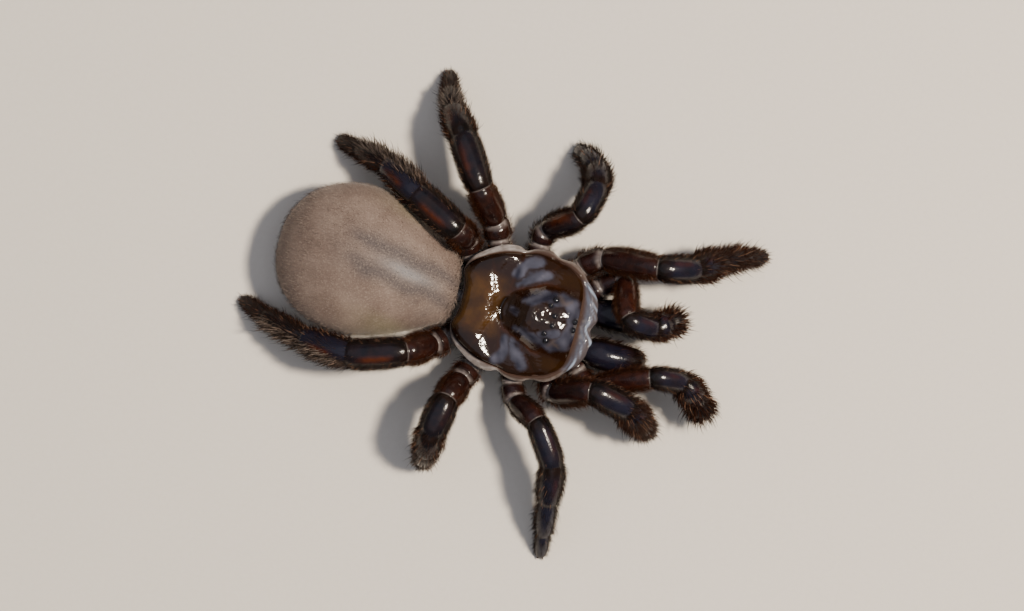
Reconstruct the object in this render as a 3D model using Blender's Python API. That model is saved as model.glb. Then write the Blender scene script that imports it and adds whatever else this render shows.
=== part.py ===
"""A cork-lid trapdoor spider at life size, standing still on a flat floor.

Lengths are in millimetres in the body's own frame: +X to the head, +Y to the
spider's left, +Z up, floor at zero. The last section moves the origin to the
middle of the footprint and the meshes are stored in metres.
"""
import math
import random

import bmesh
import bpy
from mathutils import Vector

METRES_PER_MM = 0.001
GAP = 0.3                 # clear space kept between pieces that touch in life
HALF_GAP = GAP / 2

# Carapace: left half of its rim from the rear notch to the front notch, X then Y
RIM_LEFT = [(-6.55, 0.0), (-6.7, 1.6), (-7.0, 2.9), (-6.45, 4.3), (-5.1, 5.45), (-3.6, 6.25),
            (-2.2, 6.45), (-1.35, 6.2), (-0.3, 6.65), (1.1, 6.75), (2.1, 6.25), (3.6, 6.15),
            (4.65, 5.5), (5.35, 4.7), (6.25, 3.8), (6.95, 2.6), (7.25, 1.2), (6.8, 0.0)]
CARAPACE_CENTRE = Vector((-0.3, 0.0))
RIM_UNDER = 4.6           # height of the shield's flat underside
RIM_TOP = 5.05            # height of the thin rim's upper side
THORAX_RISE = 1.75
HEAD_RISE = 1.35
HEAD_BACK, HEAD_FULL = -2.6, 0.4
HEAD_HALF_WIDTH = 2.5
HEAD_WIDENING = 0.22      # growth of the head's half width per mm forward
FOREHEAD_START, FOREHEAD_END = 4.2, 7.2
FOVEA = (-2.5, 1.3, 0.3)  # X of its middle, half width, half its breadth
FOVEA_DEPTH, FOVEA_TAPER = 1.6, 0.5     # depth against breadth, and how far its horns narrow
FOVEA_CURVE = 0.25        # how far its horns turn forward

# Eyes: X, distance from the middle line, radius
EYES = {"front": (5.0, 0.42, 0.3), "middle": (2.9, 0.5, 0.25),
        "rear_outer": (2.65, 2.05, 0.28), "rear_inner": (2.3, 1.4, 0.25)}
EYE_GAP = 0.14
EYE_SINK = 0.06

# Prosoma below the shield: a domed breast plate with the body's core on it
BREAST_CENTRE_X = -1.0
BREAST_LENGTH, BREAST_WIDTH = 8.4, 6.0
BREAST_LOW, BREAST_SIDE, BREAST_TOP = 1.6, 2.2, 4.3

# Waist: start and end of its middle line, and its radius
WAIST = [(-5.68, 0.0, 3.35), (-6.7, 0.25, 3.7)]
WAIST_RADIUS = 0.65

# Abdomen: an egg, blunt at the waist and widest behind the middle
ABDOMEN_FRONT, ABDOMEN_LENGTH = -7.05, 18.65
ABDOMEN_HALF_WIDTH, ABDOMEN_HALF_HEIGHT = 7.5, 5.35
ABDOMEN_SIDE_START, ABDOMEN_SIDE_SHIFT = 0.5, 0.6
ABDOMEN_MIDDLE_HEIGHT, ABDOMEN_END_DROP = 4.95, 0.75
PLAN_PEAK, PLAN_FULLNESS = 1.31, 0.40
SIDE_PEAK, SIDE_FULLNESS = 1.15, 0.45
FRONT_BLUNTNESS, FRONT_REACH = 1.0, 0.05

# Spinnerets: place along the egg, angle from straight below, length, radius
SPINNERETS = {"outer": (0.905, 17.0, 1.5, 0.4), "inner": (0.925, 6.0, 0.7, 0.27)}
SPINNERET_GIRTH = ((0.0, 0.9), (0.15, 1.0), (0.5, 0.9), (0.85, 0.6), (1.0, 0.3))  # share, radius
SPINNERET_TURN = 0.4      # share of its length in which it turns backwards
SPINNERET_LIFT = 0.25

# Chelicera stations on the left side: X, Y, Z, half width, half height
CHELICERA = [(7.6, 2.0, 4.1, 1.25, 1.45), (8.1, 2.05, 4.1, 1.5, 1.8), (9.6, 2.08, 3.9, 1.55, 1.85),
             (11.1, 1.95, 3.6, 1.4, 1.6), (12.3, 1.8, 3.4, 1.15, 1.25), (12.95, 1.75, 3.3, 0.75, 0.8)]
FANG = [(12.1, 1.8, 1.45, 0.5), (11.6, 1.75, 1.0, 0.48), (10.6, 1.65, 0.75, 0.4),
        (9.6, 1.55, 0.75, 0.3), (8.8, 1.45, 0.85, 0.16)]

# Limb joints from the body outwards: coxa root, coxa end, trochanter end, knee,
# patella end, tibia end, metatarsus end and tip. A palp has no metatarsus. A leg's
# tip is set below the floor, so that the sole is laid flat on it.
LIMBS = {
    "leg_1_left": [(2.1, 2.55, 3.0), (4.4, 6.1, 3.1), (6.1, 7.4, 4.2), (11.9, 7.7, 7.8),
                   (15.4, 8.5, 5.9), (17.5, 9.85, 3.7), (20.1, 11.0, 1.7), (22.3, 11.6, -0.15)],
    "leg_2_left": [(-0.4, 3.35, 3.0), (-0.25, 7.3, 3.1), (-0.15, 8.8, 4.0), (3.0, 10.6, 7.6),
                   (3.85, 14.0, 6.2), (3.3, 16.0, 4.1), (1.9, 17.1, 2.0), (0.95, 17.3, -0.15)],
    "leg_3_left": [(-2.9, 2.95, 3.0), (-4.45, 6.6, 3.1), (-5.15, 8.3, 4.0), (-7.4, 10.9, 7.6),
                   (-10.4, 15.7, 6.3), (-12.2, 18.1, 3.9), (-12.9, 20.0, 1.9), (-13.45, 21.8, -0.15)],
    "leg_4_left": [(-4.75, 1.95, 3.0), (-6.85, 4.55, 3.1), (-7.65, 5.85, 4.0), (-8.35, 6.3, 8.1),
                   (-13.35, 8.95, 7.2), (-17.2, 11.05, 4.8), (-20.3, 11.8, 2.3), (-22.6, 12.45, -0.15)],
    "leg_1_right": [(2.1, -2.55, 3.0), (4.1, -5.9, 3.1), (4.6, -7.2, 4.0), (8.3, -5.7, 8.1),
                    (12.25, -6.6, 6.6), (13.8, -7.7, 4.4), (14.6, -8.25, 2.3), (15.1, -8.65, -0.15)],
    "leg_2_right": [(-0.4, -3.35, 3.0), (0.5, -7.2, 3.1), (1.2, -8.8, 3.9), (3.75, -9.9, 7.5),
                    (6.45, -13.85, 6.8), (6.85, -17.8, 4.6), (7.3, -21.15, 2.0), (7.6, -23.45, -0.15)],
    "leg_3_right": [(-2.9, -2.95, 3.0), (-4.0, -6.6, 3.1), (-4.65, -8.1, 4.0), (-5.5, -10.1, 7.5),
                    (-6.1, -13.7, 7.2), (-6.2, -15.9, 5.2), (-6.25, -16.8, 2.6), (-6.25, -17.1, -0.15)],
    "leg_4_right": [(-4.75, -1.95, 3.0), (-7.1, -4.4, 3.1), (-8.3, -5.3, 3.9), (-10.4, -6.6, 7.6),
                    (-16.05, -8.35, 6.7), (-21.0, -7.85, 4.4), (-25.5, -6.6, 2.1), (-28.15, -5.7, -0.15)],
    "palp_left": [(3.9, 1.3, 3.0), (6.75, 4.6, 3.1), (8.9, 6.0, 4.1), (9.95, 2.0, 8.2),
                  (12.8, 1.7, 6.5), (14.1, 2.6, 5.2), (15.4, 3.4, 4.0)],
    "palp_right": [(3.9, -1.3, 3.0), (6.7, -4.4, 3.1), (8.1, -5.5, 3.75), (13.9, -2.9, 7.15),
                   (16.9, -2.7, 5.6), (18.7, -3.9, 4.2), (20.1, -5.7, 2.8)],
}
# Radius at the root, the belly and the end of each segment, for a limb of stoutness 1
GIRTH = {"coxa": (0.85, 1.15, 1.15), "trochanter": (1.1, 1.2, 1.02), "femur": (0.94, 1.22, 1.03),
         "patella": (1.08, 1.3, 1.18), "tibia": (1.16, 1.2, 0.93),
         "metatarsus": (0.82, 0.9, 0.64), "tarsus": (0.6, 0.64, 0.44),
         "palp_tarsus": (0.92, 1.08, 0.72)}
STOUTNESS = {"leg_1": 1.02, "leg_2": 1.0, "leg_3": 1.18, "leg_4": 1.16, "palp": 0.88}
COXA_STOUTNESS = 0.97
# The front limbs are swollen from the tibia outwards
SWOLLEN_SEGMENTS = ("tibia", "metatarsus", "tarsus", "palp_tarsus")
SWELLING = {"leg_1": 1.2, "leg_2": 1.1, "palp": 1.3}
HEIGHT_TO_WIDTH = 1.06
CORNER = 0.3              # share of a segment that bends into the next one
FACE_INSET = 0.8          # radius of a segment's end face against its girth there

# Sides of a section, and the places of its rings along one segment
LIMB_SIDES = 10
SHORT_RINGS = (0.0, 0.12, 0.55)
LONG_RINGS = (0.0, 0.1, 0.38, 0.72)
LAST_RINGS = (0.92, 1.0)

# Bristles: how many on each kind of segment, their reach and their radius at the skin
BRISTLE_COUNTS = {"patella": 3, "tibia": 11, "metatarsus": 8, "tarsus": 7, "palp_tarsus": 16}
BRISTLE_REACH = (0.75, 1.15)
BRISTLE_RADIUS = 0.26
BRISTLE_SIDES = 5
BRISTLE_ROOT = 0.4        # depth of its root below the skin
BRISTLE_LEAN = 0.75       # lean towards the limb's tip against its rise from the skin
BRISTLE_CLEARANCE = 0.35  # space kept to every other piece
BRISTLE_LOWEST = 0.2      # lowest height of a bristle's tip
BRISTLE_ZONE = (0.12, 0.93)             # where bristles stand along a segment
PATELLA_BRISTLE_ZONE = (0.62, 0.95)
GOLDEN_TURN = math.radians(137.5)

# Claws: a pair on each foot, reach forward, spread, radius at the root
CLAW_REACH, CLAW_SPREAD, CLAW_RADIUS = 0.85, 0.24, 0.2
CLAW_ROOT_HEIGHT, CLAW_TIP_HEIGHT = 0.5, 0.1
CLAW_BEND = 0.75          # share of the reach at which a claw bends down
CLAW_TAPER = 0.8          # its radius at the bend against its radius at the root

# Digging spines on the front of each jaw: rows of X, height over its axis, side offsets
RAKE_ROWS = [(12.25, 0.75, (-0.55, 0.0, 0.55)), (12.6, 0.3, (-0.3, 0.3))]
RAKE_REACH, RAKE_SPLAY, RAKE_LIFT = 0.75, 0.3, 0.35

# Colours as linear red, green and blue, with roughness
FINISHES = {
    "dark_shell": ((0.018, 0.011, 0.010), 0.25),
    "head_shield": ((0.060, 0.034, 0.010), 0.2),
    "breast_shell": ((0.080, 0.035, 0.015), 0.4),
    "abdomen_skin": ((0.200, 0.135, 0.110), 0.85),
    "eye_lens": ((0.010, 0.010, 0.014), 0.08),
    "fang_shell": ((0.020, 0.008, 0.006), 0.15),
}


def finish(name):
    """Material of one finish, made the first time it is asked for."""
    material = bpy.data.materials.get(name)
    if material:
        return material
    color, roughness = FINISHES[name]
    material = bpy.data.materials.new(name)
    material.use_nodes = True
    shader = material.node_tree.nodes["Principled BSDF"]
    shader.inputs["Base Color"].default_value = (*color, 1.0)
    shader.inputs["Roughness"].default_value = roughness
    shader.inputs["Metallic"].default_value = 0.0
    material.diffuse_color = (*color, 1.0)
    return material


def solid(name, points, faces, finish_name):
    """Object with its own smooth mesh, from points in millimetres."""
    mesh = bpy.data.meshes.new(name)
    mesh.from_pydata([Vector(point) * METRES_PER_MM for point in points], [], faces)
    mesh.materials.append(finish(finish_name))
    mesh.shade_smooth()
    part = bpy.data.objects.new(name, mesh)
    bpy.context.collection.objects.link(part)
    recalculated = bmesh.new()
    recalculated.from_mesh(mesh)
    bmesh.ops.recalc_face_normals(recalculated, faces=recalculated.faces)
    recalculated.to_mesh(mesh)
    recalculated.free()
    return part


def skin_of_rings(rings, first_tip=None, last_tip=None):
    """Points and faces that join rings of equal count, each end closed flat or to a tip."""
    sides = len(rings[0])
    points = [point for ring in rings for point in ring]
    faces = []
    for index in range(len(rings) - 1):
        low, high = index * sides, (index + 1) * sides
        for side in range(sides):
            after = (side + 1) % sides
            faces.append((low + side, low + after, high + after, high + side))
    last = (len(rings) - 1) * sides
    for tip, start in ((first_tip, 0), (last_tip, last)):
        if tip is None:
            faces.append(tuple(start + side for side in range(sides)))
        else:
            points.append(tip)
            pole = len(points) - 1
            faces += [(start + side, start + (side + 1) % sides, pole) for side in range(sides)]
    return points, faces


def swept_rings(stations, sides):
    """Elliptical rings square to a path; a station is centre, tangent, width, height radius."""
    upright = Vector((0.0, 0.0, 1.0))
    across = stations[0][1].cross(upright).normalized()
    rings = []
    for centre, tangent, half_width, half_height in stations:
        across = (across - tangent * across.dot(tangent)).normalized()
        raised = across.cross(tangent)
        ring = []
        for side in range(sides):
            angle = math.tau * side / sides
            ring.append(centre + across * (half_width * math.cos(angle))
                        + raised * (half_height * math.sin(angle)))
        rings.append(ring)
    return rings


def on_floor(points):
    """Points with whatever would pass below the floor laid flat on it."""
    return [Vector((point[0], point[1], max(point[2], 0.0))) for point in points]


def smooth_step(low, high, value):
    share = min(max((value - low) / (high - low), 0.0), 1.0)
    return share * share * (3 - 2 * share)


def closed_curve(corners, steps):
    """Points on a closed smooth curve that passes through the corners."""
    count = len(corners)
    curve = []
    for index in range(count):
        before, start = corners[index - 1], corners[index]
        end, after = corners[(index + 1) % count], corners[(index + 2) % count]
        for step in range(steps):
            t = step / steps
            curve.append(tuple(0.5 * (2 * b + (c - a) * t + (2 * a - 5 * b + 4 * c - d) * t * t
                                      + (3 * b - a - 3 * c + d) * t ** 3)
                               for a, b, c, d in zip(before, start, end, after)))
    return curve


# Head shield
RIM_STEPS = 2
SHIELD_RINGS = (0.93, 0.82, 0.68, 0.53, 0.38, 0.2)
UNDERSIDE_SHARE = 0.94
THORAX_POWER = 2.2


def shield_height(x, y, share):
    """Height of the shield over the floor; share runs from 0 at the middle to 1 at the rim."""
    thorax = THORAX_RISE * (1 - share ** THORAX_POWER)
    half_width = HEAD_HALF_WIDTH + HEAD_WIDENING * max(x - HEAD_FULL, 0.0)
    lengthwise = smooth_step(HEAD_BACK, HEAD_FULL, x)
    forehead = 1 - smooth_step(FOREHEAD_START, FOREHEAD_END, x)
    head = HEAD_RISE * lengthwise * forehead * math.exp(-(abs(y) / half_width) ** 4)
    return RIM_TOP + thorax + head


def rim_outline():
    right = [(x, -y) for x, y in reversed(RIM_LEFT[1:-1])]
    return closed_curve(RIM_LEFT + right, RIM_STEPS)


def shield_share(x, y):
    """How far a place is from the shield's middle, with 1 at the rim."""
    place = Vector((x, y)) - CARAPACE_CENTRE
    heading = math.atan2(place.y, place.x)
    def turn_from(point):
        offset = Vector(point) - CARAPACE_CENTRE
        return abs(math.remainder(math.atan2(offset.y, offset.x) - heading, math.tau))
    nearest = min(rim_outline(), key=turn_from)
    return place.length / (Vector(nearest) - CARAPACE_CENTRE).length


def make_carapace():
    rim = rim_outline()
    rings = []
    def ring_at(share, height=None):
        ring = []
        for x, y in rim:
            place = CARAPACE_CENTRE + (Vector((x, y)) - CARAPACE_CENTRE) * share
            level = shield_height(place.x, place.y, share) if height is None else height
            ring.append(Vector((place.x, place.y, level)))
        return ring
    rings.append(ring_at(UNDERSIDE_SHARE, RIM_UNDER))
    rings.append(ring_at(1.0, (RIM_UNDER + RIM_TOP) / 2))
    rings += [ring_at(share) for share in SHIELD_RINGS]
    middle = Vector((*CARAPACE_CENTRE, shield_height(*CARAPACE_CENTRE, 0.0)))
    shield = solid("carapace", *skin_of_rings(rings, last_tip=middle), "head_shield")
    pits = [ball(f"pit_{name}", place, radius + EYE_GAP) for name, place, radius in eye_places()]
    pits.append(fovea_cutter())
    cut(shield, pits)


def eye_places():
    """Name, centre and radius of each eye, sunk a little into the shield."""
    places = []
    for row, (x, y, radius) in EYES.items():
        height = shield_height(x, y, shield_share(x, y)) - EYE_SINK
        for side, sign in (("left", 1), ("right", -1)):
            places.append((f"eye_{row}_{side}", Vector((x, y * sign, height)), radius))
    return places


EYE_SEGMENTS, EYE_RINGS = 10, 7


def ball(name, centre, radius, finish_name="eye_lens"):
    rings = []
    for row in range(1, EYE_RINGS):
        polar = math.pi * row / EYE_RINGS
        ring_radius, lift = radius * math.sin(polar), radius * math.cos(polar)
        rings.append([centre + Vector((ring_radius * math.cos(math.tau * side / EYE_SEGMENTS),
                                       ring_radius * math.sin(math.tau * side / EYE_SEGMENTS), lift))
                      for side in range(EYE_SEGMENTS)])
    top, bottom = centre + Vector((0, 0, radius)), centre - Vector((0, 0, radius))
    return solid(name, *skin_of_rings(rings, first_tip=top, last_tip=bottom), finish_name)


def fovea_cutter():
    """The groove across the shield's back, its two horns turned forward."""
    x, half_width, breadth = FOVEA
    stations = []
    for share in (-1.0, -0.6, 0.0, 0.6, 1.0):
        y = share * half_width
        place = Vector((x + FOVEA_CURVE * y * y, y, 0.0))
        place.z = shield_height(place.x, place.y, shield_share(place.x, place.y))
        tangent = Vector((2 * FOVEA_CURVE * y, 1.0, 0.0)).normalized()
        radius = breadth * (1 - FOVEA_TAPER * abs(share))
        stations.append((place, tangent, radius, radius * FOVEA_DEPTH))
    return solid("fovea_cutter", *skin_of_rings(swept_rings(stations, 8)), "eye_lens")


def discard(pieces):
    for piece in pieces:
        bpy.data.objects.remove(piece, do_unlink=True)


def keep_largest_surface(body):
    """Delete every closed surface of a mesh but the one with the most volume."""
    shape = bmesh.new()
    shape.from_mesh(body.data)
    left = set(shape.verts)
    surfaces = []
    while left:
        surface, edge_of_search = set(), [left.pop()]
        while edge_of_search:
            vert = edge_of_search.pop()
            surface.add(vert)
            for edge in vert.link_edges:
                other = edge.other_vert(vert)
                if other in left:
                    left.remove(other)
                    edge_of_search.append(other)
        surfaces.append(surface)
    def reach(surface):
        return sum((max(v.co[axis] for v in surface) - min(v.co[axis] for v in surface))
                   for axis in range(3))
    surfaces.sort(key=reach, reverse=True)
    for scrap in surfaces[1:]:
        bmesh.ops.delete(shape, geom=list(scrap), context="VERTS")
    shape.to_mesh(body.data)
    shape.free()


def boolean_with(body, pieces, operation, solver):
    """Join pieces to a body, or cut them from it, and remove them."""
    group = bpy.data.collections.new(f"{body.name}_{operation.lower()}")
    for piece in pieces:
        group.objects.link(piece)
    step = body.modifiers.new(operation.lower(), "BOOLEAN")
    step.operation = operation
    step.operand_type = "COLLECTION"
    step.collection = group
    step.solver = solver
    bpy.context.view_layer.update()
    result = bpy.data.meshes.new_from_object(body.evaluated_get(
        bpy.context.evaluated_depsgraph_get()))
    body.modifiers.clear()
    body.data = result
    body.data.name = body.name
    discard(pieces)
    bpy.data.collections.remove(group)
    keep_largest_surface(body)
    body.data.shade_smooth()


def cut(body, pieces):
    boolean_with(body, pieces, "DIFFERENCE", "EXACT")


def join(body, pieces):
    boolean_with(body, pieces, "UNION", "MANIFOLD")


def spine(name, place, heading, reach):
    """A tapered spine that stands on the skin at place, its root sunk below it."""
    heading = heading.normalized()
    root, tip = place - heading * BRISTLE_ROOT, place + heading * reach
    ring = swept_rings([(root, heading, BRISTLE_RADIUS, BRISTLE_RADIUS)], BRISTLE_SIDES)
    return solid(name, *skin_of_rings(ring, last_tip=tip), "dark_shell")


def make_eyes():
    for name, centre, radius in eye_places():
        ball(name, centre, radius)


# Breast plate, waist and abdomen
BREAST_SIDES = 24
BREAST_DOME = 0.62


def make_breast():
    rings = []
    for share, height in ((BREAST_DOME, BREAST_LOW), (1.0, BREAST_SIDE), (1.0, BREAST_TOP)):
        ring = []
        for side in range(BREAST_SIDES):
            angle = math.tau * side / BREAST_SIDES
            ring.append(Vector((BREAST_CENTRE_X + share * BREAST_LENGTH / 2 * math.cos(angle),
                                share * BREAST_WIDTH / 2 * math.sin(angle), height)))
        rings.append(ring)
    solid("breast_plate", *skin_of_rings(rings), "breast_shell")


def make_waist():
    start, end = (Vector(point) for point in WAIST)
    tangent = (end - start).normalized()
    stations = [(start.lerp(end, share), tangent, WAIST_RADIUS, WAIST_RADIUS)
                for share in (0.0, 0.5, 1.0)]
    solid("waist", *skin_of_rings(swept_rings(stations, 10)), "breast_shell")


ABDOMEN_SIDES = 28
ABDOMEN_RINGS = 18


def abdomen_point(along, angle):
    """Point of the egg; along runs 0 to 1 from the waist, angle turns from the left side up."""
    blunt = 1 + FRONT_BLUNTNESS * math.exp(-along / FRONT_REACH)
    if 0 < along < 1:
        swell = blunt * math.sin(math.pi * along ** PLAN_PEAK) ** PLAN_FULLNESS
        rise = blunt ** 0.5 * math.sin(math.pi * along ** SIDE_PEAK) ** SIDE_FULLNESS
    else:
        swell = rise = 0.0
    middle = ABDOMEN_SIDE_START + ABDOMEN_SIDE_SHIFT * smooth_step(0.0, 0.5, along)
    level = ABDOMEN_MIDDLE_HEIGHT - ABDOMEN_END_DROP * (1 - math.sin(math.pi * along))
    return Vector((ABDOMEN_FRONT - ABDOMEN_LENGTH * along,
                   middle + ABDOMEN_HALF_WIDTH * swell * math.cos(angle),
                   level + ABDOMEN_HALF_HEIGHT * rise * math.sin(angle)))


def make_abdomen():
    rings = []
    for row in range(1, ABDOMEN_RINGS):
        along = 0.5 - 0.5 * math.cos(math.pi * row / ABDOMEN_RINGS)
        rings.append([abdomen_point(along, math.tau * side / ABDOMEN_SIDES)
                      for side in range(ABDOMEN_SIDES)])
    front, rear = abdomen_point(0.0, 0.0), abdomen_point(1.0, 0.0)
    points, faces = skin_of_rings(rings, first_tip=front, last_tip=rear)
    solid("abdomen", on_floor(points), faces, "abdomen_skin")


def make_spinnerets():
    step = 0.01
    for row, (along, spread, length, radius) in SPINNERETS.items():
        for side, sign in (("left", 1), ("right", -1)):
            angle = math.radians(-90 + sign * spread)
            place = abdomen_point(along, angle)
            lengthwise = abdomen_point(along + step, angle) - place
            around = abdomen_point(along, angle + step) - place
            outward = around.cross(lengthwise).normalized()
            if outward.z > 0:
                outward.negate()
            start = place + outward * GAP
            backward = Vector((-1.0, sign * 0.12, 0.25)).normalized()
            stations = []
            for share, girth in SPINNERET_GIRTH:
                turned = min(share / SPINNERET_TURN, 1.0)
                tangent = outward.lerp(backward, turned).normalized()
                centre = start + outward * (SPINNERET_LIFT * SPINNERET_TURN * turned)
                centre += backward * (length * share)
                stations.append((centre, tangent, radius * girth, radius * girth))
            name = f"spinneret_{row}_{side}"
            solid(name, *skin_of_rings(swept_rings(stations, 8)), "breast_shell")


# Jaws and fangs
def tangents_along(centres):
    count = len(centres)
    return [(centres[min(index + 1, count - 1)] - centres[max(index - 1, 0)]).normalized()
            for index in range(count)]


def make_jaws():
    for side, sign in (("left", 1), ("right", -1)):
        centres = [Vector((x, y * sign, z)) for x, y, z, _, _ in CHELICERA]
        sizes = [station[3:] for station in CHELICERA]
        stations = [(centre, tangent, *size)
                    for centre, tangent, size in zip(centres, tangents_along(centres), sizes)]
        jaw = solid(f"chelicera_{side}", *skin_of_rings(swept_rings(stations, 14)), "dark_shell")
        spines = []
        for x, over_axis, offsets in RAKE_ROWS:
            for offset in offsets:
                root = Vector((x, sign * (CHELICERA[-2][1] + offset), CHELICERA[-2][2] + over_axis))
                forward = Vector((1.0, sign * offset * RAKE_SPLAY, RAKE_LIFT)).normalized()
                spines.append(spine(f"rake_{side}_{len(spines)}", root, forward, RAKE_REACH))
        join(jaw, spines)
        centres = [Vector((x, y * sign, z)) for x, y, z, _ in FANG]
        stations = [(centre, tangent, station[3], station[3])
                    for centre, tangent, station in zip(centres, tangents_along(centres), FANG)]
        solid(f"fang_{side}", *skin_of_rings(swept_rings(stations, 8)), "fang_shell")


# Legs and palps
def limb_path(joints):
    """Function that gives the point and tangent at a share of one segment of a limb."""
    joints = [Vector(joint) for joint in joints]
    def bend_at(corner, share_past_middle):
        before = joints[corner] - (joints[corner] - joints[corner - 1]) * CORNER
        after = joints[corner] + (joints[corner + 1] - joints[corner]) * CORNER
        t = share_past_middle
        place = before * (1 - t) ** 2 + joints[corner] * (2 * t * (1 - t)) + after * t ** 2
        tangent = (joints[corner] - before) * (1 - t) + (after - joints[corner]) * t
        return place, tangent.normalized()
    def at(segment, share):
        start, end = joints[segment], joints[segment + 1]
        if share < CORNER and segment > 0:
            return bend_at(segment, 0.5 + 0.5 * share / CORNER)
        if share > 1 - CORNER and segment + 2 < len(joints):
            return bend_at(segment + 1, 0.5 - 0.5 * (1 - share) / CORNER)
        return start.lerp(end, share), (end - start).normalized()
    return at


def girth_at(segment_name, share, stoutness):
    root, belly, end = GIRTH[segment_name]
    even = root + (end - root) * share
    return stoutness * (even + (belly - (root + end) / 2) * math.sin(math.pi * share))


def segment_stoutness(limb, segment_name):
    if segment_name == "coxa":
        return COXA_STOUTNESS
    swollen = SWELLING.get(limb_kind(limb), 1.0) if segment_name in SWOLLEN_SEGMENTS else 1.0
    return STOUTNESS[limb_kind(limb)] * swollen


def limb_stations(limb, path, segments):
    """Stations of one node that runs over the given (index, name) segments, and its two
    end faces as a place and the direction out of the node."""
    stations, end_faces = [], []
    for position, (index, name) in enumerate(segments):
        shares = SHORT_RINGS if name in ("coxa", "trochanter") else LONG_RINGS
        if position == len(segments) - 1:
            shares = shares + LAST_RINGS
        for share in shares:
            place, tangent = path(index, share)
            radius = girth_at(name, share, segment_stoutness(limb, name))
            if position == 0 and share == 0.0:
                place, radius = place + tangent * HALF_GAP, radius * FACE_INSET
                end_faces.append((place, -tangent))
            if position == len(segments) - 1 and share == 1.0:
                place, radius = place - tangent * HALF_GAP, radius * FACE_INSET
                end_faces.append((place, tangent))
            stations.append((place, tangent, radius, radius * HEIGHT_TO_WIDTH))
    return stations, end_faces


def behind_faces(rings, end_faces):
    """Rings with each point that passes an end face, within a bend, laid on that face."""
    half = len(rings) // 2
    kept = []
    for index, ring in enumerate(rings):
        place, outward = end_faces[0] if index < half else end_faces[1]
        kept.append([point - outward * max((point - place).dot(outward), 0.0) for point in ring])
    return kept


LEG_NODES = {"coxa": [(0, "coxa")], "femur": [(1, "trochanter"), (2, "femur")],
             "tibia": [(3, "patella"), (4, "tibia")], "foot": [(5, "metatarsus"), (6, "tarsus")]}
PALP_NODES = {"coxa": [(0, "coxa")], "femur": [(1, "trochanter"), (2, "femur")],
              "end": [(3, "patella"), (4, "tibia"), (5, "palp_tarsus")]}


def limb_kind(limb):
    return "palp" if limb.startswith("palp") else limb[:5]


def limb_nodes(limb):
    return PALP_NODES if limb.startswith("palp") else LEG_NODES


def limb_crowd():
    """Node name, centre and radius of closely set places along every limb."""
    crowd = []
    for limb, joints in LIMBS.items():
        path = limb_path(joints)
        for node, segments in limb_nodes(limb).items():
            for index, name in segments:
                for step in range(9):
                    place, _ = path(index, step / 8)
                    radius = girth_at(name, step / 8, segment_stoutness(limb, name))
                    crowd.append((f"{limb}_{node}", place, radius * HEIGHT_TO_WIDTH))
    for x, y, z, half_width, half_height in CHELICERA:
        for sign in (1, -1):
            crowd.append(("chelicera", Vector((x, y * sign, z)), max(half_width, half_height)))
    return crowd


def inside_abdomen(place, clearance):
    along = (ABDOMEN_FRONT - place.x) / ABDOMEN_LENGTH
    if not 0.0 < along < 1.0:
        return False
    side, top = abdomen_point(along, 0.0), abdomen_point(along, math.pi / 2)
    middle = Vector((place.x, top.y, side.z))
    across = (place.y - middle.y) / (side.y - middle.y + clearance)
    upward = (place.z - middle.z) / (top.z - middle.z + clearance)
    return across ** 2 + upward ** 2 < 1.0


def has_room(place, own_node, crowd):
    """Whether a bristle's tip stands clear of the floor, the abdomen and the other nodes."""
    if place.z < BRISTLE_LOWEST or inside_abdomen(place, BRISTLE_CLEARANCE):
        return False
    return all((place - centre).length > radius + BRISTLE_CLEARANCE
               for node, centre, radius in crowd if node != own_node)


def bristles_on(limb, node, path, segments, crowd, end_faces):
    """Spines wound round the segments of one node, leaning to the limb's tip."""
    spines = []
    is_last = segments[-1][1].endswith("tarsus")
    walls = end_faces[:1] if is_last else end_faces
    for index, name in segments:
        count = BRISTLE_COUNTS[name]
        start, end = PATELLA_BRISTLE_ZONE if name == "patella" else BRISTLE_ZONE
        for step in range(count):
            share = start + (end - start) * (step + random.uniform(0.2, 0.8)) / count
            angle = GOLDEN_TURN * (step + 5 * index) + random.uniform(-0.3, 0.3)
            place, tangent = path(index, share)
            across = tangent.cross(Vector((0.0, 0.0, 1.0))).normalized()
            outward = across * math.cos(angle) + across.cross(tangent) * math.sin(angle)
            surface = place + outward * girth_at(name, share, segment_stoutness(limb, name))
            heading = (outward + tangent * BRISTLE_LEAN).normalized()
            reach = random.uniform(*BRISTLE_REACH)
            tip, root = surface + heading * reach, surface - heading * BRISTLE_ROOT
            if any((point - wall).dot(away) > -BRISTLE_CLEARANCE
                   for wall, away in walls for point in (root, tip)):
                continue
            if has_room(tip, node, crowd) and has_room(surface + heading * reach / 2, node, crowd):
                spines.append(spine(f"{node}_bristle_{len(spines)}", surface, heading, reach))
    return spines


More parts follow.
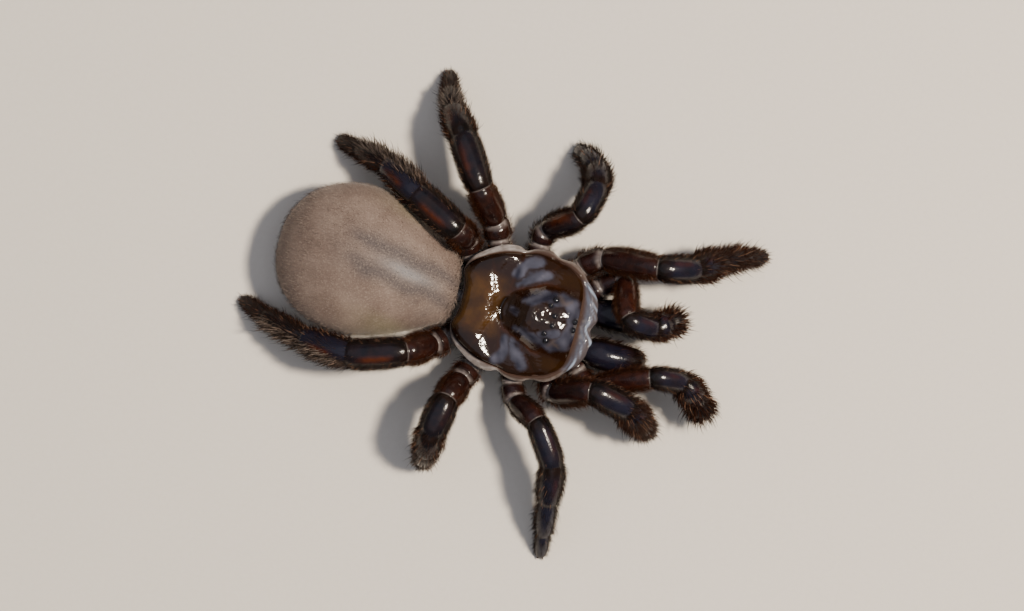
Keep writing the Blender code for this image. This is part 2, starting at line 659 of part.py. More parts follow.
def claws_on(node, path):
    """The pair of claws at the end of a foot, turned down to the floor."""
    place, tangent = path(LEG_NODES["foot"][-1][0], 1.0)
    forward = Vector((tangent.x, tangent.y, 0.0)).normalized()
    across = Vector((-forward.y, forward.x, 0.0))
    root = Vector((place.x, place.y, CLAW_ROOT_HEIGHT)) - forward * (2 * CLAW_RADIUS)
    claws = []
    for side, sign in (("left", 1), ("right", -1)):
        start = root + across * (sign * CLAW_SPREAD)
        bend = start + forward * (CLAW_REACH * CLAW_BEND) + across * (sign * CLAW_RADIUS / 2)
        heading = (bend - start).normalized()
        downward = (heading - Vector((0, 0, 0.4))).normalized()
        stations = [(start, heading, CLAW_RADIUS, CLAW_RADIUS),
                    (bend, downward, CLAW_TAPER * CLAW_RADIUS, CLAW_TAPER * CLAW_RADIUS)]
        tip = start + forward * (CLAW_REACH + 2 * CLAW_RADIUS)
        tip.z = CLAW_TIP_HEIGHT
        points, faces = skin_of_rings(swept_rings(stations, 6), last_tip=tip)
        claws.append(solid(f"{node}_claw_{side}", points, faces, "dark_shell"))
    return claws


def make_limbs():
    crowd = limb_crowd()
    for limb, joints in LIMBS.items():
        path = limb_path(joints)
        for part, segments in limb_nodes(limb).items():
            node = f"{limb}_{part}"
            stations, end_faces = limb_stations(limb, path, segments)
            rings = behind_faces(swept_rings(stations, LIMB_SIDES), end_faces)
            points, faces = skin_of_rings(rings)
            body = solid(node, on_floor(points), faces, "dark_shell")
            spines = []
            if part in ("tibia", "foot", "end"):
                spines += bristles_on(limb, node, path, segments, crowd, end_faces)
            if part == "foot":
                spines += claws_on(node, path)
            if spines:
                join(body, spines)


def centre_on_footprint():
    """Move the origin to the middle of the whole animal's box, on the floor."""
    parts = [part for part in bpy.data.objects if part.type == "MESH"]
    corners = [vertex.co for part in parts for vertex in part.data.vertices]
    middle = Vector([(min(c[axis] for c in corners) + max(c[axis] for c in corners)) / 2
                     for axis in (0, 1)] + [0.0])
    for part in parts:
        for vertex in part.data.vertices:
            vertex.co -= middle


def clear_scene():
    for leftover in list(bpy.data.objects):
        bpy.data.objects.remove(leftover, do_unlink=True)


random.seed(7)
clear_scene()
make_carapace()
make_eyes()
make_breast()
make_waist()
make_abdomen()
make_spinnerets()
make_jaws()
make_limbs()
centre_on_footprint()
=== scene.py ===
import math
from types import SimpleNamespace

import bmesh
import bpy
import numpy as np
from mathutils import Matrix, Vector, noise


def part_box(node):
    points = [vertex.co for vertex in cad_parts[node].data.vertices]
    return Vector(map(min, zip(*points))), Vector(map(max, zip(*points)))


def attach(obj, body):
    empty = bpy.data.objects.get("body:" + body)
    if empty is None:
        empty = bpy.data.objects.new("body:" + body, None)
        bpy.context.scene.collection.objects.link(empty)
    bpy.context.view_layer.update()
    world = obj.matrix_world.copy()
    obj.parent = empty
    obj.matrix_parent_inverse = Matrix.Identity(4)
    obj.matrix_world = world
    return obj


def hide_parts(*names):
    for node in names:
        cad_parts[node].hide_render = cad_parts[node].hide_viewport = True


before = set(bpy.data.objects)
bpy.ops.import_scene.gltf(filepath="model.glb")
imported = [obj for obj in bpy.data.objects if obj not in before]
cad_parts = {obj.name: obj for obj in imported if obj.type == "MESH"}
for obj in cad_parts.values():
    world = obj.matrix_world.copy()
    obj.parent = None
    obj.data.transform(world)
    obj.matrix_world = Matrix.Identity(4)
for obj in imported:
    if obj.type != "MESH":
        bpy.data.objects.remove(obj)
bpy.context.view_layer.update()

# The head shield is the hard plate over the front of the body: one sheet of glossy cuticle,
# hardened after the last moult. It is arched over the head, dished round the central pit,
# and grooved where the muscles of the stomach and the legs hang from its inner side.
MM = 0.001
WAIST_END = -7.05                     # front of the abdomen, in body millimetres
BODY_ORIGIN = np.array([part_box("abdomen")[1][0] / MM - WAIST_END,
                        (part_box("breast_plate")[0][1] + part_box("breast_plate")[1][1]) / 2 / MM, 0.0])
# Left half of the soft rim and of the hard plate inside it, from the rear to the front
RIM_LEFT = [(-6.55, 0.0), (-6.7, 1.6), (-7.0, 2.9), (-6.45, 4.3), (-5.1, 5.45), (-3.6, 6.25),
            (-2.2, 6.45), (-1.35, 6.2), (-0.3, 6.65), (1.1, 6.75), (2.1, 6.25), (3.6, 6.15),
            (4.65, 5.5), (5.35, 4.7), (6.25, 3.8), (6.95, 2.6), (7.25, 1.2), (6.8, 0.0)]
PLATE_LEFT = [(-6.4, 0.0), (-6.5, 1.4), (-6.85, 2.75), (-6.3, 3.75), (-5.2, 4.55), (-3.9, 5.2),
              (-2.9, 5.5), (-1.4, 5.8), (0.0, 6.15), (1.9, 5.95), (3.5, 5.4), (4.6, 4.6),
              (5.1, 3.6), (5.25, 2.0), (5.3, 0.0)]
SHIELD_CENTRE = np.array([-0.3, 0.0])
SHIELD_ROUND, SHIELD_ROWS = 320, 84
# Arch of the shield over the body and, narrower, over the head
RIM_TOP, THORAX_RISE, THORAX_POWER = 5.05, 1.75, 2.2
HEAD_RISE, HEAD_BACK, HEAD_FULL = 1.35, -2.6, 0.4
HEAD_HALF_WIDTH, HEAD_WIDENING = 2.5, 0.22
FOREHEAD_START, FOREHEAD_END = 4.2, 7.2
# Flat back of the shield, and the slope across it that faces the head and holds the long glint
BACK_RISE, BACK_POWER, BACK_END = 1.15, 11.0, (-2.6, 0.6)
RAMP_RISE, RAMP_REACH = 0.3, 0.8
RAMP_Y, RAMP_X = [0.0, 1.5, 3.1, 4.0, 5.2], [-3.5, -3.55, -3.85, -3.4, -2.6]
# Dish round the pit, crown of the head, mound of the eyes: rise, middle, half length, half width
SWELLINGS = [(-0.25, -2.2, 0.9, 1.6), (0.2, 0.1, 1.6, 1.5), (0.16, 4.1, 1.5, 1.9)]
# The pit is a curved furrow across the middle; from it shallow ones run to between the legs
FOVEA_X, FOVEA_CURVE, FOVEA_HALF_WIDTH = -2.5, 0.25, 1.3
FOVEA_WIDTH, FOVEA_DEPTH = 0.2, 0.2
LEG_GROOVES = (0.86, 1.38, 1.98, 2.45)           # headings in radians
LEG_GROOVE_WIDTH, LEG_GROOVE_DEPTH = 0.35, 0.04
# Groove on each side of the head, from the pit to the front corner
HEAD_GROOVE_X = [-2.7, -2.0, -1.0, 0.3, 1.4, 3.0, 5.0]
HEAD_GROOVE_Y = [1.0, 1.75, 2.25, 2.75, 3.35, 3.5, 3.35]
HEAD_GROOVE_WIDTH, HEAD_GROOVE_DEPTH = 0.34, 0.13
# Dark muscle plates, their blue-grey partly a painted reflection of the sky, on the left (1)
# and the right (-1): points and half widths of each
PLATES = {1: [([(-1.75, 3.6), (-1.0, 4.75), (0.3, 5.4)], [0.4, 0.62, 0.4]),
              ([(-1.4, 2.65), (-0.2, 3.6), (1.2, 4.3)], [0.2, 0.5, 0.45]),
              ([(-0.4, 1.3), (0.9, 1.95), (2.4, 2.4)], [0.35, 0.62, 0.5]),
              ([(2.4, 1.6), (3.6, 2.2)], [0.3, 0.45]),
              ([(3.2, 2.6), (4.4, 1.9), (4.9, 0.0)], [0.4, 0.75, 0.5]),
              ([(-1.3, 0.1), (-1.0, 0.0)], [0.35, 0.35])],
          -1: [([(-1.4, 2.8), (-1.1, 4.1), (-1.6, 5.0)], [0.3, 0.55, 0.55]),
               ([(-0.7, 2.9), (0.2, 4.3), (0.9, 5.1)], [0.25, 0.62, 0.55]),
               ([(-0.6, 1.5), (1.5, 2.2), (3.2, 2.6)], [0.2, 0.42, 0.5]),
               ([(3.3, 2.5), (4.4, 1.9), (4.9, 0.0)], [0.5, 0.8, 0.5]),
               ([(1.9, 1.7), (3.3, 1.3)], [0.3, 0.5])]}
# The other colour marks, in mm: a pair is the two ends of a soft edge
AMBER_FRONT_EDGE, AMBER_SIDE_EDGE = (-3.4, -1.4), (2.2, 3.6)     # the amber back
CORNER_START, CORNER_INNER, CORNER_OUTER = (1.2, 2.6), (3.4, 3.9), (4.4, 5.4)
SPOTS_START, SPOTS_END, SPOTS_HALF_WIDTH = (-0.4, 0.4), (3.6, 4.6), 1.3
DARK_CORNER = [(-6.4, 3.0), (-5.0, 4.2), (-3.4, 5.0)]            # path along the rear corner
TAN_PATCH = [(2.95, 2.5), (3.4, 2.05), (4.1, 2.35)]              # clearer, beside the outer rear eye
# The eyes' places: x, half the space between a pair, radius
EYES = {"front": (5.0, 0.42, 0.3), "middle": (2.9, 0.5, 0.25),
        "rear_outer": (2.65, 2.05, 0.28), "rear_inner": (2.3, 1.4, 0.25)}
# Edge of the plate, turned down and in: share of the radius, drop
EDGE_ROUNDING = 0.1
EDGE = [(0.999, 0.07), (0.994, 0.2), (0.986, 0.4), (0.8, 0.48)]


def smooth(low, high, value):
    """Smooth step from 0 at low to 1 at high."""
    share = np.clip((value - low) / (high - low), 0.0, 1.0)
    return share * share * (3 - 2 * share)


def bell(value, width):
    """1 at a value of 0, falling off smoothly on both sides."""
    return np.exp(-(value / width) ** 2)


def between(rise, fall, value):
    """1 between two places and 0 outside them, with a soft edge at each."""
    return smooth(*rise, value) * (1 - smooth(*fall, value))


def oval(x, y, half_length, half_width):
    """Soft oval spot, 1 in its middle."""
    return np.exp(-(x / half_length) ** 2 - (y / half_width) ** 2)


def unevenness(points, size):
    """Smooth random value between about -1 and 1 at each point, for bumps of a size in mm."""
    flat = points.reshape(-1, 3) / size
    return np.array([noise.noise(Vector(point)) for point in flat]).reshape(points.shape[:-1])


def outline_radius(left_half, headings):
    """Distance from the shield's centre to a smooth closed outline at each heading."""
    corners = np.array(left_half + [(x, -y) for x, y in reversed(left_half[1:-1])])
    before, after, beyond = (np.roll(corners, turn, axis=0) for turn in (1, -1, -2))
    curve = []
    for t in np.linspace(0, 1, 12, endpoint=False):
        curve.append(0.5 * (2 * corners + (after - before) * t
                            + (2 * before - 5 * corners + 4 * after - beyond) * t * t
                            + (3 * corners - before - 3 * after + beyond) * t ** 3))
    offset = np.concatenate(curve) - SHIELD_CENTRE
    turn = np.arctan2(offset[:, 1], offset[:, 0])
    order = np.argsort(turn)
    return np.interp(headings, turn[order], np.hypot(*offset.T)[order], period=math.tau)


def rim_share(x, y):
    """Share of the way from the shield's centre to the edge of its rim, 1 outside it."""
    x, y = x - SHIELD_CENTRE[0], y - SHIELD_CENTRE[1]
    return np.minimum(np.hypot(x, y) / outline_radius(RIM_LEFT, np.arctan2(y, x)), 1.0)


def plain_shield_height(x, y):
    """Height of the shield's arch over the floor, without its swellings and grooves."""
    half_width = HEAD_HALF_WIDTH + HEAD_WIDENING * np.maximum(x - HEAD_FULL, 0.0)
    forehead = 1 - smooth(FOREHEAD_START, FOREHEAD_END, x)
    head = HEAD_RISE * smooth(HEAD_BACK, HEAD_FULL, x) * forehead * np.exp(-(np.abs(y) / half_width) ** 4)
    return RIM_TOP + THORAX_RISE * (1 - rim_share(x, y) ** THORAX_POWER) + head


def fovea_mark(x, y):
    away = x - (FOVEA_X + FOVEA_CURVE * y * y)
    return bell(away, FOVEA_WIDTH) * (1 - smooth(0.75, 1.1, np.abs(y) / FOVEA_HALF_WIDTH))


def head_groove_mark(x, y, width):
    away = np.abs(y) - np.interp(x, HEAD_GROOVE_X, HEAD_GROOVE_Y)
    return bell(away, width) * smooth(-2.6, -1.8, x) * (1 - 0.75 * smooth(1.2, 3.4, x))


def leg_groove_mark(x, y, width):
    heading = np.abs(np.arctan2(y, x - FOVEA_X))
    reach = np.hypot(y, x - FOVEA_X)
    return sum(bell((heading - turn) * reach, width) for turn in LEG_GROOVES) * smooth(1.4, 2.4, reach)


def shield_height(x, y):
    """Height of the finished shield: flat and dished behind the head, with its pit and grooves."""
    behind = 1 - smooth(*BACK_END, x)
    flat = RIM_TOP + BACK_RISE * (1 - rim_share(x, y) ** BACK_POWER)
    plain = plain_shield_height(x, y)
    height = plain + (flat - plain) * behind
    ramp_x = np.interp(np.abs(y), RAMP_Y, RAMP_X)
    height = height + RAMP_RISE * (1 - smooth(-RAMP_REACH, RAMP_REACH, x - ramp_x)) * behind
    for rise, middle, half_length, half_width in SWELLINGS:
        height = height + rise * oval(x - middle, y, half_length, half_width)
    height = height - FOVEA_DEPTH * fovea_mark(x, y)
    height = height - HEAD_GROOVE_DEPTH * head_groove_mark(x, y, HEAD_GROOVE_WIDTH)
    return height - LEG_GROOVE_DEPTH * leg_groove_mark(x, y, LEG_GROOVE_WIDTH)


def skin_piece(name, grid, poles=(None, None), marks=None, ring=False):
    """Smooth mesh piece from a grid of points in body millimetres, each row a closed ring.
    A pole closes an end, or ring joins the last row to the first. marks are kept as attributes."""
    rows, sides = grid.shape[:2]
    points = grid.reshape(-1, 3)
    marks = {key: np.broadcast_to(value, (rows, sides) + np.shape(value)[2:]).reshape(rows * sides, -1)
             for key, value in (marks or {}).items()}
    around = np.arange(sides)
    faces = []
    for row in range(rows if ring else rows - 1):
        low, high = row * sides, (row + 1) % rows * sides
        beside = (around + 1) % sides
        faces += np.stack([low + around, low + beside, high + beside, high + around], axis=1).tolist()
    for pole, start in zip(poles, (0, (rows - 1) * sides)):
        if pole is None:
            continue
        points = np.vstack([points, pole])
        for key, value in marks.items():
            marks[key] = np.vstack([value, value[start:start + sides].mean(axis=0)])
        faces += [[start + side, start + (side + 1) % sides, len(points) - 1] for side in range(sides)]
    mesh = bpy.data.meshes.new(name)
    mesh.from_pydata(((points + BODY_ORIGIN) * MM).tolist(), [], faces)
    for key, value in marks.items():
        kind = "FLOAT" if value.shape[1] == 1 else "FLOAT_VECTOR"
        layer = mesh.attributes.new(key, kind, "POINT")
        layer.data.foreach_set("value" if kind == "FLOAT" else "vector", value.astype(np.float32).ravel())
    turned = bmesh.new()
    turned.from_mesh(mesh)
    bmesh.ops.recalc_face_normals(turned, faces=turned.faces)
    turned.to_mesh(mesh)
    turned.free()
    mesh.shade_smooth()
    piece = bpy.data.objects.new(name, mesh)
    bpy.context.scene.collection.objects.link(piece)
    return piece


def colour(hex_value):
    """Linear red, green, blue and alpha of an sRGB hex value."""
    parts = [int(hex_value[place:place + 2], 16) / 255 for place in (1, 3, 5)]
    return tuple(part / 12.92 if part <= 0.04045 else ((part + 0.055) / 1.055) ** 2.4
                 for part in parts) + (1.0,)


def feed(tree, socket, value):
    """Gives an input socket a value, or a link from a socket or from a node's first output in use."""
    if isinstance(value, bpy.types.Node):
        value = next(output for output in value.outputs if output.enabled)
    if isinstance(value, bpy.types.NodeSocket):
        tree.links.new(value, socket)
    else:
        socket.default_value = value


def add(tree, kind, inputs=None, **settings):
    """A new node with its settings, and what feeds each of the inputs named or numbered."""
    node = tree.nodes.new(kind)
    for key, value in settings.items():
        setattr(node, key, value)
    for key, value in (inputs or {}).items():
        feed(tree, node.inputs[key], value)
    return node


def finish(name, roughness, ior=1.5, **others):
    """A new material, its node tree and its shader, with values for the shader's own sockets."""
    material = bpy.data.materials.new(name)
    material.use_nodes = True
    shader = material.node_tree.nodes["Principled BSDF"]
    shader.inputs["Roughness"].default_value = roughness
    shader.inputs["IOR"].default_value = ior
    for key, value in others.items():
        shader.inputs[key.replace("_", " ").title()].default_value = value
    return material, material.node_tree, shader


def grain(tree, size, detail=2.0):
    """Noise between 0 and 1 whose grains have a size in mm, on the piece's own coordinates."""
    place = add(tree, "ShaderNodeTexCoord").outputs["Object"]
    return add(tree, "ShaderNodeTexNoise", {"Vector": place, "Scale": 1 / (size * MM), "Detail": detail})


def strength(tree, *shares):
    """Product of shares, each a number, a grain or the name of a mark on the mesh. Four numbers
    after a grain or a mark stretch it: from its low and high values to a start and an end."""
    product = None
    for share in shares:
        source, *ends = share if isinstance(share, tuple) else (share,)
        if isinstance(source, str):
            source = add(tree, "ShaderNodeAttribute", attribute_name=source).outputs["Fac"]
        if ends:
            ends = dict(zip(("From Min", "From Max", "To Min", "To Max"), ends))
            source = add(tree, "ShaderNodeMapRange", {"Value": source, **ends})
        if product is not None:
            source = add(tree, "ShaderNodeMath", {0: product, 1: source}, operation="MULTIPLY")
        product = source
    return product


def tinted(tree, base, tint, *shares):
    """A base colour with a tint laid over it, as strongly as the product of the shares."""
    first, second = (colour(each) if isinstance(each, str) else each for each in (base, tint))
    return add(tree, "ShaderNodeMix", {0: strength(tree, *shares), 6: first, 7: second}, data_type="RGBA")


def cover(tree, shader, base, height=None, depth=0.0):
    """Gives a shader its colour, and a relief from a height of 0 to 1 with a real depth in mm."""
    feed(tree, shader.inputs["Base Color"], base)
    if height is not None:
        bump = add(tree, "ShaderNodeBump", {"Height": height, "Distance": depth * MM, "Strength": 1.0})
        feed(tree, shader.inputs["Normal"], bump)


def shield_cuticle():
    """Hardened cuticle, smooth as it formed: a clear dark amber with dark plates, their blue-grey
    partly a painted reflection of the sky, and painted shade in the pit. It gives sharp highlights
    over colours that seem to lie below the surface."""
    material, tree, shader = finish("hardened shield cuticle", roughness=0.1, ior=1.48)
    mottle = grain(tree, 1.3, 3.0)
    base = tinted(tree, "#1f1007", "#432b0b", "amber", (mottle, 0.35, 0.65, 0.45, 1.0))
    base = tinted(tree, base, "#4f270c", "groove", 0.45)
    # The plates' blue-grey is partly a painted reflection of the sky
    blue = tinted(tree, "#1b1c2a", "#50515f", "fibre")
    base = tinted(tree, base, blue, "plate")
    base = tinted(tree, base, "#5a4c42", "tan")
    # Dark places, with painted shade in the pit
    base = tinted(tree, base, "#0c0604", "dark")
    cover(tree, shader, base, grain(tree, 0.25, 3.0), 0.012)
    return material


def dress(piece, material, slot, *nodes):
    """Gives a finished piece its material, attaches it to the root body and hides the nodes it stands for.
    The slot is not used.
    """
    piece.data.materials.append(material)
    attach(piece, "root")
    if nodes:
        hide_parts(*nodes)


def ribbon(x, y, path, half_widths, softness=0.25):
    """Share of 1 within a band along a path and 0 outside it, with round ends and a soft edge."""
    nearest = np.full(np.shape(x), 9.0)
    for (start, end), (first, last) in zip(zip(path, path[1:]), zip(half_widths, half_widths[1:])):
        run = np.subtract(end, start)
        share = ((x - start[0]) * run[0] + (y - start[1]) * run[1]) / (run @ run)
        share = np.clip(share, 0, 1)
        away = np.hypot(x - start[0] - share * run[0], y - start[1] - share * run[1])
        nearest = np.minimum(nearest, away - (first + (last - first) * share))
    return 1 - smooth(-softness, softness, nearest)


def shield_marks(points):
    """Colour marks of the shield: blue plates partly painted as reflection, amber back, grooves,
    dark places and painted shade in the pit.
    """
    x, y = points[..., 0], points[..., 1]
    aside = np.abs(y)
    ragged = 0.3 * unevenness(points, 1.1) + 0.12 * unevenness(points, 0.35)
    plate = np.max([ribbon(x + ragged, sign * y - 0.7 * ragged, path, widths)
                    for sign, paths in PLATES.items() for path, widths in paths], axis=0)
    # The muscle fibres under the plates fan out from the pit
    heading, reach = np.arctan2(y, x - FOVEA_X), np.hypot(y, x - FOVEA_X)
    rays = np.stack([np.cos(heading) * 7, np.sin(heading) * 7, 0.5 * reach], axis=-1)
    fibre = np.clip(0.45 + 0.6 * unevenness(rays, 1.0) + 0.5 * unevenness(points, 0.9), 0, 1)
    groove = head_groove_mark(x, y + 0.8 * ragged, 0.3) * (0.55 + 0.45 * unevenness(points, 0.8))
    groove = np.maximum(groove, 0.2 * leg_groove_mark(x, y, 0.14))
    back = (1 - smooth(*AMBER_FRONT_EDGE, x + ragged)) * (1 - smooth(*AMBER_SIDE_EDGE, aside + ragged))
    corner = smooth(*CORNER_START, x) * between(CORNER_INNER, CORNER_OUTER, aside)
    spots = smooth(0.0, 0.5, unevenness(points, 0.6)) * bell(y, SPOTS_HALF_WIDTH)
    amber = np.max([back, 0.28 * corner, 0.3 * spots * between(SPOTS_START, SPOTS_END, x)], axis=0)
    rear_corner = 0.5 * ribbon(x, aside, DARK_CORNER, [0.4, 0.4, 0.3], 0.5)
    behind_head = 0.55 * oval(x + 1.9 + ragged, y + ragged, 0.8, 1.2) * (1 - plate)
    crown = 0.5 * oval(x - 1.5, y, 1.8, 0.99) * (1 - plate) * (1 - amber)
    sockets = [oval(x - eye_x, aside - eye_y, 1.3 * radius, 1.3 * radius)
               for eye_x, eye_y, radius in EYES.values()]
    # The pit is darkened as painted shade; the rear corners, the middle of the head and the eye sockets are
    # darkened too
    dark = np.max([fovea_mark(x, y), rear_corner, behind_head, crown, *sockets], axis=0)
    tan = 0.5 * ribbon(x + ragged, aside - ragged, TAN_PATCH, [0.05, 0.22, 0.05], 0.35)
    return {"plate": 0.92 * plate, "fibre": fibre, "groove": groove, "amber": amber,
            "dark": dark, "tan": tan}


headings = np.linspace(-math.pi, math.pi, SHIELD_ROUND, endpoint=False)


def round_centre(reach):
    """x and y at a distance from the shield's centre on every heading."""
    return SHIELD_CENTRE[0] + reach * np.cos(headings), SHIELD_CENTRE[1] + reach * np.sin(headings)


plate_radius = outline_radius(PLATE_LEFT, headings)
shares = np.linspace(0, 1, SHIELD_ROWS + 1)[1:, None]
shield_x, shield_y = round_centre(shares * plate_radius)
top = np.stack([shield_x, shield_y, shield_height(shield_x, shield_y)], axis=2)
# A fine unevenness, most of it round the eyes, breaks the highlights up
eye_area = oval(shield_x - 2.0, shield_y, 2.4, 1.9)
top[..., 2] += 0.035 * eye_area * unevenness(top, 0.5) + 0.02 * unevenness(top, 1.3)
top[..., 2] += 0.015 * unevenness(top, 0.24)
top[..., 2] -= EDGE_ROUNDING * smooth(0.94, 1.0, shares)
rows = []
for share, drop in EDGE:
    row = top[-1].copy()
    row[:, :2] = SHIELD_CENTRE + (row[:, :2] - SHIELD_CENTRE) * share
    row[:, 2] -= drop
    rows.append(row)
grid = np.concatenate([top, np.array(rows)])
head_shield = skin_piece("head_shield", grid, ((*SHIELD_CENTRE, shield_height(*SHIELD_CENTRE)),
                                               (*SHIELD_CENTRE, RIM_TOP)), shield_marks(grid))
dress(head_shield, shield_cuticle(), "head_shield", "carapace")

# The shield's soft rim is the pale, half clear membrane that joins the plate to the body. It
# is unhardened cuticle, swollen out in lobes between the legs, with a tan strip above the
# jaws and two clear lobes in front of that.
RIM_LOW, RIM_ACROSS = 4.62, 22
RIM_TUCK = 0.93                       # how far under the plate the membrane starts
PLATE_LAP = 0.16                      # how far below the plate's edge it comes out
FRONT_LOBES, SIDE_LOBES = 0.24, 0.14  # how far the membrane swells up
INNER_RISE = 0.03                     # what its inner half stands above the outer one
LOBE_GROOVE, OUTER_DROP = 0.1, 0.24
CLEAR_FRONT = (0.62, 0.78)            # headings in radians where the clear front ends
THICK_START, THICK_END = (1.6, 1.85), (2.4, 2.65)    # headings of the thick lobes between the legs


def joint_membrane():
    """Soft unhardened cuticle, stretched and wet looking: grey-white where it is swollen and
    thick, brown where it is clear enough to show what lies under it, a blue-grey strip in front, and
    over the clear lobes before it a painted pale blue-grey reflection of the sky in painted highlight
    streaks."""
    material, tree, shader = finish("soft joint membrane", roughness=0.07, ior=1.45)
    base = tinted(tree, "#3d2c23", "#a6a09e", "thick", (grain(tree, 0.7), 0.35, 0.65, 0.55, 1.0))
    base = tinted(tree, base, "#575f70", "strip")
    # Painted reflection of the sky and painted highlight streaks on the clear front lobes
    base = tinted(tree, base, "#92a0b6", "clear")
    cover(tree, shader, base, grain(tree, 0.3), 0.015)
    return material


membrane = joint_membrane()
rim_radius = outline_radius(RIM_LEFT, headings)
across = np.linspace(0, 1, RIM_ACROSS)[:, None]
inner = plate_radius * RIM_TUCK
reach = inner + (rim_radius - inner) * np.sin(across * math.pi / 2)
rim_x, rim_y = round_centre(reach)
front = 1 - smooth(*CLEAR_FRONT, np.abs(headings))
shown = np.clip((reach - plate_radius) / (rim_radius - plate_radius), 0, 1)
lobe_share = np.clip((shown - 0.5 * front) / (1 - 0.5 * front), 0, 1)
lobe = (FRONT_LOBES * front + SIDE_LOBES * (1 - front)) * np.sin(math.pi * lobe_share)
lobe += np.where(shown < 0.5, INNER_RISE, 0.0)
rim_z = plain_shield_height(rim_x, rim_y) + lobe - PLATE_LAP * (1 - smooth(0.0, 0.15, shown))
rim_z -= OUTER_DROP * smooth(0.8, 1.0, across) + LOBE_GROOVE * front * bell(shown - 0.5, 0.09)
below = np.stack([rim_x[::-5] * 0.985, rim_y[::-5] * 0.985, np.full_like(rim_x[::-5], RIM_LOW)], axis=2)
grid = np.concatenate([np.stack([rim_x, rim_y, rim_z], axis=2), below])
grid[..., 2] += 0.04 * unevenness(grid, 0.5)
folds = np.stack([shown * 1.5, headings * np.ones_like(shown) * 8 + 4 * shown, 0 * shown], axis=2)
streak = np.clip(0.45 + 1.1 * unevenness(folds, 1.0) + 0.5 * unevenness(folds, 0.35), 0, 1)
strip = 0.85 * front * bell(shown - 0.42, 0.2) * (0.45 + 0.55 * streak)
# Painted pale reflection over the clear lobes, in painted highlight streaks along the folds
clear = front * smooth(0.5, 0.64, shown) * (0.12 + 0.88 * smooth(0.4, 0.95, streak))
lobes = between(THICK_START, THICK_END, np.abs(headings))
thick = (1 - front) * smooth(0.35 - 0.2 * lobes, 0.75 - 0.25 * lobes, shown)
thick = thick * (0.4 + 0.6 * lobes) * (0.6 + 0.4 * streak)
under = np.zeros(below.shape[:2])
marks = {"strip": np.concatenate([strip, under]), "clear": np.concatenate([clear, under]),
         "thick": np.concatenate([thick, under])}
shield_rim = skin_piece("shield_rim", grid, marks=marks, ring=True)
dress(shield_rim, membrane, "head_shield", "carapace")

# The eight eyes are simple lenses, thickened beads of clear cuticle over black cups, set in
# the shield in an oblong group: two at its front edge, the rest on the low mound behind.
EYE_SINK, EYE_FLATNESS, EYE_RINGS, EYE_SIDES = 0.02, 0.72, 17, 28


def eye_lens():
    """Polished clear cuticle over black pigment, which gives one sharp point of light."""
    material, tree, shader = finish("eye lens cuticle", roughness=0.06, ior=1.56)
    cover(tree, shader, tinted(tree, "#07070b", "#14141d", grain(tree, 0.15)))
    return material


def bead(centre, half_sizes, rings, sides):
    """Grid and poles of an oval bead."""
    polar = np.linspace(0, math.pi, rings)[1:-1, None]
    turn = np.linspace(0, math.tau, sides, endpoint=False)
    ball = np.stack([np.sin(polar) * np.cos(turn), np.sin(polar) * np.sin(turn),
                     np.cos(polar) * np.ones_like(turn)], axis=2)
    pole = np.array([0, 0, half_sizes[2]])
    return ball * half_sizes + centre, (centre + pole, centre - pole)


lens = eye_lens()
for row, (x, y, radius) in EYES.items():
    for side, sign in (("left", 1), ("right", -1)):
        centre = np.array([x, y * sign, shield_height(x, y * sign) - EYE_SINK])
        half_sizes = (radius, radius, EYE_FLATNESS * radius)
        eye = skin_piece(f"eye_{row}_{side}_lens", *bead(centre, half_sizes, EYE_RINGS, EYE_SIDES))
        dress(eye, lens, "eye_lens", f"eye_{row}_{side}")

# The breast plate is a low heart-shaped shell under the body, between the roots of the legs,
# with three pairs of smooth pits. Soft folded skin joins it to the shield above.
BREAST_X, BREAST_LENGTH, BREAST_WIDTH = -1.0, 8.4, 6.0
BREAST_LOW, BREAST_SIDE, BREAST_TOP = 1.6, 2.2, 4.3
BREAST_PITS = [(1.5, 2.0), (-0.9, 2.15), (-2.9, 1.3)]
BREAST_SIDES, BREAST_ROWS, BREAST_ROUNDNESS = 96, 25, 2.4
PIT_WIDTH, PIT_DEPTH = 0.22, 0.06
LIP_CENTRE, LIP_HALF, LIP_RINGS = np.array([3.75, 0.0, 2.35]), (0.75, 0.55, 0.5), 15
# Side wall: share of the way out from the breast plate's edge to the rim, height
WALL = [(-0.12, 2.35), (0.0, 2.6), (0.12, 3.0), (0.3, 3.5), (0.55, 4.0), (0.8, 4.45), (0.86, 4.75),
        (0.7, 4.85)]
WALL_FOLDS, WALL_FOLD_DEPTH = 9, 0.12


def breast_cuticle():
    """Thin hardened cuticle, chestnut and finely pitted by the roots of its hairs."""
    material, tree, shader = finish("chestnut breast cuticle", roughness=0.3, ior=1.56)
    base = tinted(tree, "#3a1c0d", "#6b3a1c", (grain(tree, 0.8, 3.0), 0.3, 0.7, 0.0, 1.0))
    base = tinted(tree, base, "#1a0d08", "dark")
    cover(tree, shader, base, grain(tree, 0.2), 0.02)
    return material


def breast_outline(share, turn):
    """x and y of a share of the breast plate's outline."""
    return (BREAST_X + share * BREAST_LENGTH / 2 * np.cos(turn), share * BREAST_WIDTH / 2 * np.sin(turn))


